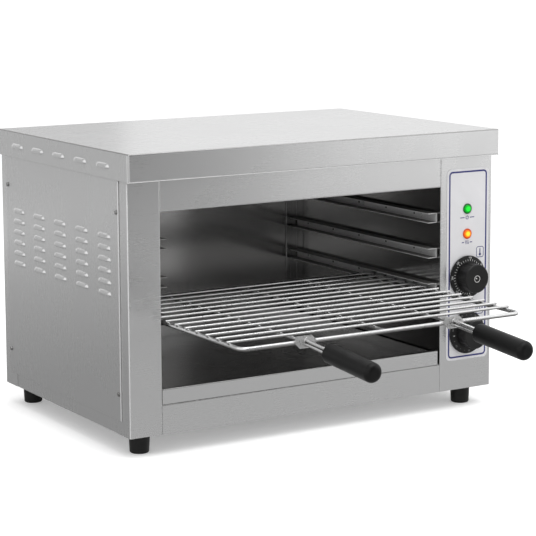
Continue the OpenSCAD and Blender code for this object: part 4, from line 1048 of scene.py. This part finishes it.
def rail_holes(side, level, sign):
    """Row of small holes along a rail's web, drawn as black discs of painted shade; sign is 1 for
    the rails on the right.
    """
    name = "rail_holes_%s_%s" % (side, level)
    low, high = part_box("rail_%s_%s" % (side, level))
    half_web, web_rise = 0.5 * MM, 0.6 * MM
    hole_r, plug, count = 1.5 * MM, 1.3 * MM, 5
    first_hole, hole_pitch = 58 * MM, 76.7 * MM
    web_x = high.x - half_web if sign > 0 else low.x + half_web
    z = (low.z + high.z) / 2 + web_rise
    turn = Matrix.Rotation(math.radians(90), 4, "Y")
    meshes = []
    for i in range(count):
        disc = flat_mesh("hole", [circle((0, 0), hole_r, 16)], plug)
        y = low.y + first_hole + hole_pitch * i
        disc.transform(Matrix.Translation((web_x, y, z)) @ turn)
        meshes.append(disc)
    place_piece(name, join_meshes(name, meshes), hole_shade, "cabinet")


def fold_bead(name, start, end, radius):
    """Rounded outer bend of a folded sheet, from one end of the fold to the other."""
    sides, slim_end = 16, 0.6
    start, end = Vector(start), Vector(end)
    length = (end - start).length
    stand = (end - start).to_track_quat("Z", "X").to_matrix()
    turns = [2 * math.pi * i / sides for i in range(sides)]
    rings = []
    for place, share in ((0.0, slim_end), (MM, 1.0), (length - MM, 1.0), (length, slim_end)):
        r = radius * share
        rings.append([start + stand @ Vector((r * math.cos(t), r * math.sin(t), place))
                      for t in turns])
    mesh = bmesh.new()
    skin_rings(mesh, rings)
    # The bead takes the hem steel, which paints a highlight on the bend.
    place_piece(name, smooth_mesh(name, mesh), hem_highlight_steel, "cabinet")


def sheet_folds():
    """Hems of the side panels, and the bends at the corners of the post and the cover."""
    hem_r, hem_out, hem_gap = 1.1 * MM, 0.9 * MM, 0.4 * MM
    bend_r, bend_in, bend_gap = 0.9 * MM, 0.5 * MM, 0.2 * MM
    lip_r, lip_in, lip_up, lip_top_gap = 0.45 * MM, 0.3 * MM, 0.35 * MM, 1.5 * MM
    post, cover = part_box("left_post"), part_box("top_cover")
    for side, x in (("left", post[0].x - hem_out),
                    ("right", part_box("control_panel")[1].x + hem_out)):
        low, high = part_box(side + "_side_panel")
        fold_bead(side + "_panel_hem", (x, low.y, low.z + hem_gap), (x, low.y, high.z - hem_gap),
                  hem_r)
    x, y = post[0].x + bend_in, post[0].y + bend_in
    fold_bead("post_bend", (x, y, post[0].z + bend_gap), (x, y, cover[0].z - bend_gap), bend_r)
    x, y, z = cover[0].x + lip_r, cover[0].y + lip_in, cover[0].z + lip_up
    fold_bead("cover_corner_bend", (x, y, z), (x, y, cover[1].z - lip_top_gap), lip_r)
    fold_bead("cover_lower_bend", (x, y, z), (cover[1].x - lip_r, y, z), lip_r)


panel_screws()
rack_welds()
handle_weld("left")
handle_weld("right")
for rail_side, rail_sign in (("left", -1), ("right", 1)):
    for rail_level in ("low", "middle", "high"):
        rail_holes(rail_side, rail_level, rail_sign)
sheet_folds()
knob_pit()


# ---------- Camera, light and floor ----------

def make_camera():
    """Three-quarter view from the front left, a little above the cabinet. The lens is shifted,
    so that upright edges stay nearly parallel."""
    yaw, pitch, roll = 31.30, 7.96, -0.29
    left, away, height = 1.5315, 2.3729, 0.7294
    data = bpy.data.cameras.new("camera")
    data.sensor_width = 36.0
    data.lens = 130.5
    data.shift_y = -0.112
    camera = new_object("camera", data)
    turn = (Matrix.Rotation(math.radians(-yaw), 4, "Z")
            @ Matrix.Rotation(math.radians(90 - pitch), 4, "X")
            @ Matrix.Rotation(math.radians(roll), 4, "Z"))
    place = (-left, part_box("left_post")[0].y - away, height)
    camera.matrix_world = Matrix.Translation(place) @ turn
    bpy.context.scene.camera = camera


def seen_directly(tree, in_reflections=1.0):
    """1 for what the eye or a clear lens sees, 0 for light that falls; the share that a
    reflection sees is given."""
    rays = add_node(tree, "ShaderNodeLightPath").outputs
    mirrored = times(tree, rays["Is Glossy Ray"], in_reflections)
    both = math_node(tree, "ADD", rays["Is Camera Ray"], mirrored)
    return math_node(tree, "ADD", both, rays["Is Transmission Ray"], clamp=True)


def make_world():
    """White all round to the eye and in reflections, and an even fill of light."""
    world = bpy.data.worlds.new("studio")
    world.use_nodes = True
    tree = world.node_tree
    background = tree.nodes["Background"]
    fill = 0.62
    set_inputs(background, {"Color": (1.0, 1.0, 1.0, 1.0),
                            "Strength": remap(tree, seen_directly(tree), 0, 1, fill, 1.0)})
    bpy.context.scene.world = world


def make_floor():
    """Pale floor that turns white to the eye and keeps the shadow; its glow is dimmed near the
    cabinet as a painted shadow.
    """
    size, corner = 40.0, 1.0
    mesh = flat_mesh("floor", [rounded_box((0, 0), size, size, corner)], 0.0)
    floor = new_object("floor", mesh)
    material, tree, shader = new_material("pale_floor")
    lift = 0.58
    mottle = noise(tree, place_on_piece(tree), 6.0, 3.0)
    # Painted shadow: the glow dims where things close by hide the sky.
    near_things = add_node(tree, "ShaderNodeAmbientOcclusion", {"Distance": 0.09}, samples=8)
    painted_shadow_share = remap(tree, near_things.outputs["AO"], 0.2, 0.8, 0.45, 1.0)
    glow = times(tree, seen_directly(tree, 0.1), lift)
    set_inputs(shader, {
        "Base Color": mix_colour(tree, mottle, grey(0.84), grey(0.86)),
        "Roughness": 0.9,
        "Specular IOR Level": 0.0,
        "Emission Color": grey(1.0),
        "Emission Strength": times(tree, glow, painted_shadow_share),
    })
    paint(floor, material)


def soft_box(name, size, power, at, towards):
    """Square lamp behind a diffuser, aimed at a point."""
    data = bpy.data.lights.new(name, "AREA")
    data.shape = "SQUARE"
    data.size = size
    data.energy = power
    lamp = new_object(name, data)
    lamp.matrix_world = facing(at, towards, "-Z")


def grey_card(name, level, at, towards, width, height, far_level=None, far=(0.0, 1.0)):
    """Card that only reflections see; it throws no shadow and the eye looks through it. With
    a far_level it shades off along Y, between the two places in far."""
    corner = 0.02
    mesh = flat_mesh(name, [rounded_box((0, 0), width, height, corner)], 0.0)
    card = new_object(name, mesh)
    card.matrix_world = facing(at, towards, "Z")
    material, tree, shader = new_material(name)
    strength = level
    if far_level is not None:
        depth = one_axis(tree, surface(tree, "Position"), "Y")
        strength = remap(tree, depth, far[0], far[1], level, far_level)
    set_inputs(shader, {"Base Color": grey(0.0), "Roughness": 1.0, "Specular IOR Level": 0.0,
                        "Emission Color": grey(1.0), "Emission Strength": strength})
    paint(card, material)
    card.visible_camera = False
    card.visible_diffuse = False
    card.visible_shadow = False
    card.visible_transmission = False


bpy.context.scene.view_settings.view_transform = "Standard"
make_camera()
make_world()
make_floor()
soft_box("top_light", 2.2, 30.0, (0.2, -0.8, 2.6), (0.0, 0.0, 0.2))
soft_box("side_light", 1.6, 8.0, (2.4, -2.2, 1.6), (0.0, 0.0, 0.2))
grey_card("front_card", 0.155, (0.22, -1.95, 0.9), (0.22, 0.0, 0.9), 1.68, 1.8)
grey_card("right_card", 0.96, (1.84, -1.95, 0.9), (1.84, 0.0, 0.9), 1.56, 1.8)
grey_card("left_card", 0.46, (-1.75, 2.3, 0.9), (-1.75, 0.0, 0.9), 1.6, 1.8)
grey_card("back_card", 0.42, (-1.85, 2.6, 2.1), (-1.85, 0.0, 0.6), 1.8, 2.0)
grey_card("back_right_card", 0.58, (0.40, 2.65, 1.05), (0.40, 0.0, 1.05), 1.3, 1.0)
grey_card("far_right_card", 0.88, (1.90, 2.65, 1.05), (1.90, 0.0, 1.05), 1.7, 1.0)
grey_card("ground_front_card", 0.46, (0.4, -0.9, 0.003), (0.4, -0.9, 1.0), 2.4, 1.8)
grey_card("ground_left_card", 0.30, (-1.5, 0.9, 0.003), (-1.5, 0.9, 1.0), 2.4, 1.8, 0.45,
          (0.5, 1.7))
grey_card("overhead_card", 0.44, (0.0, 0.0, 3.0), (0.0, 0.0, 0.0), 3.4, 3.4)
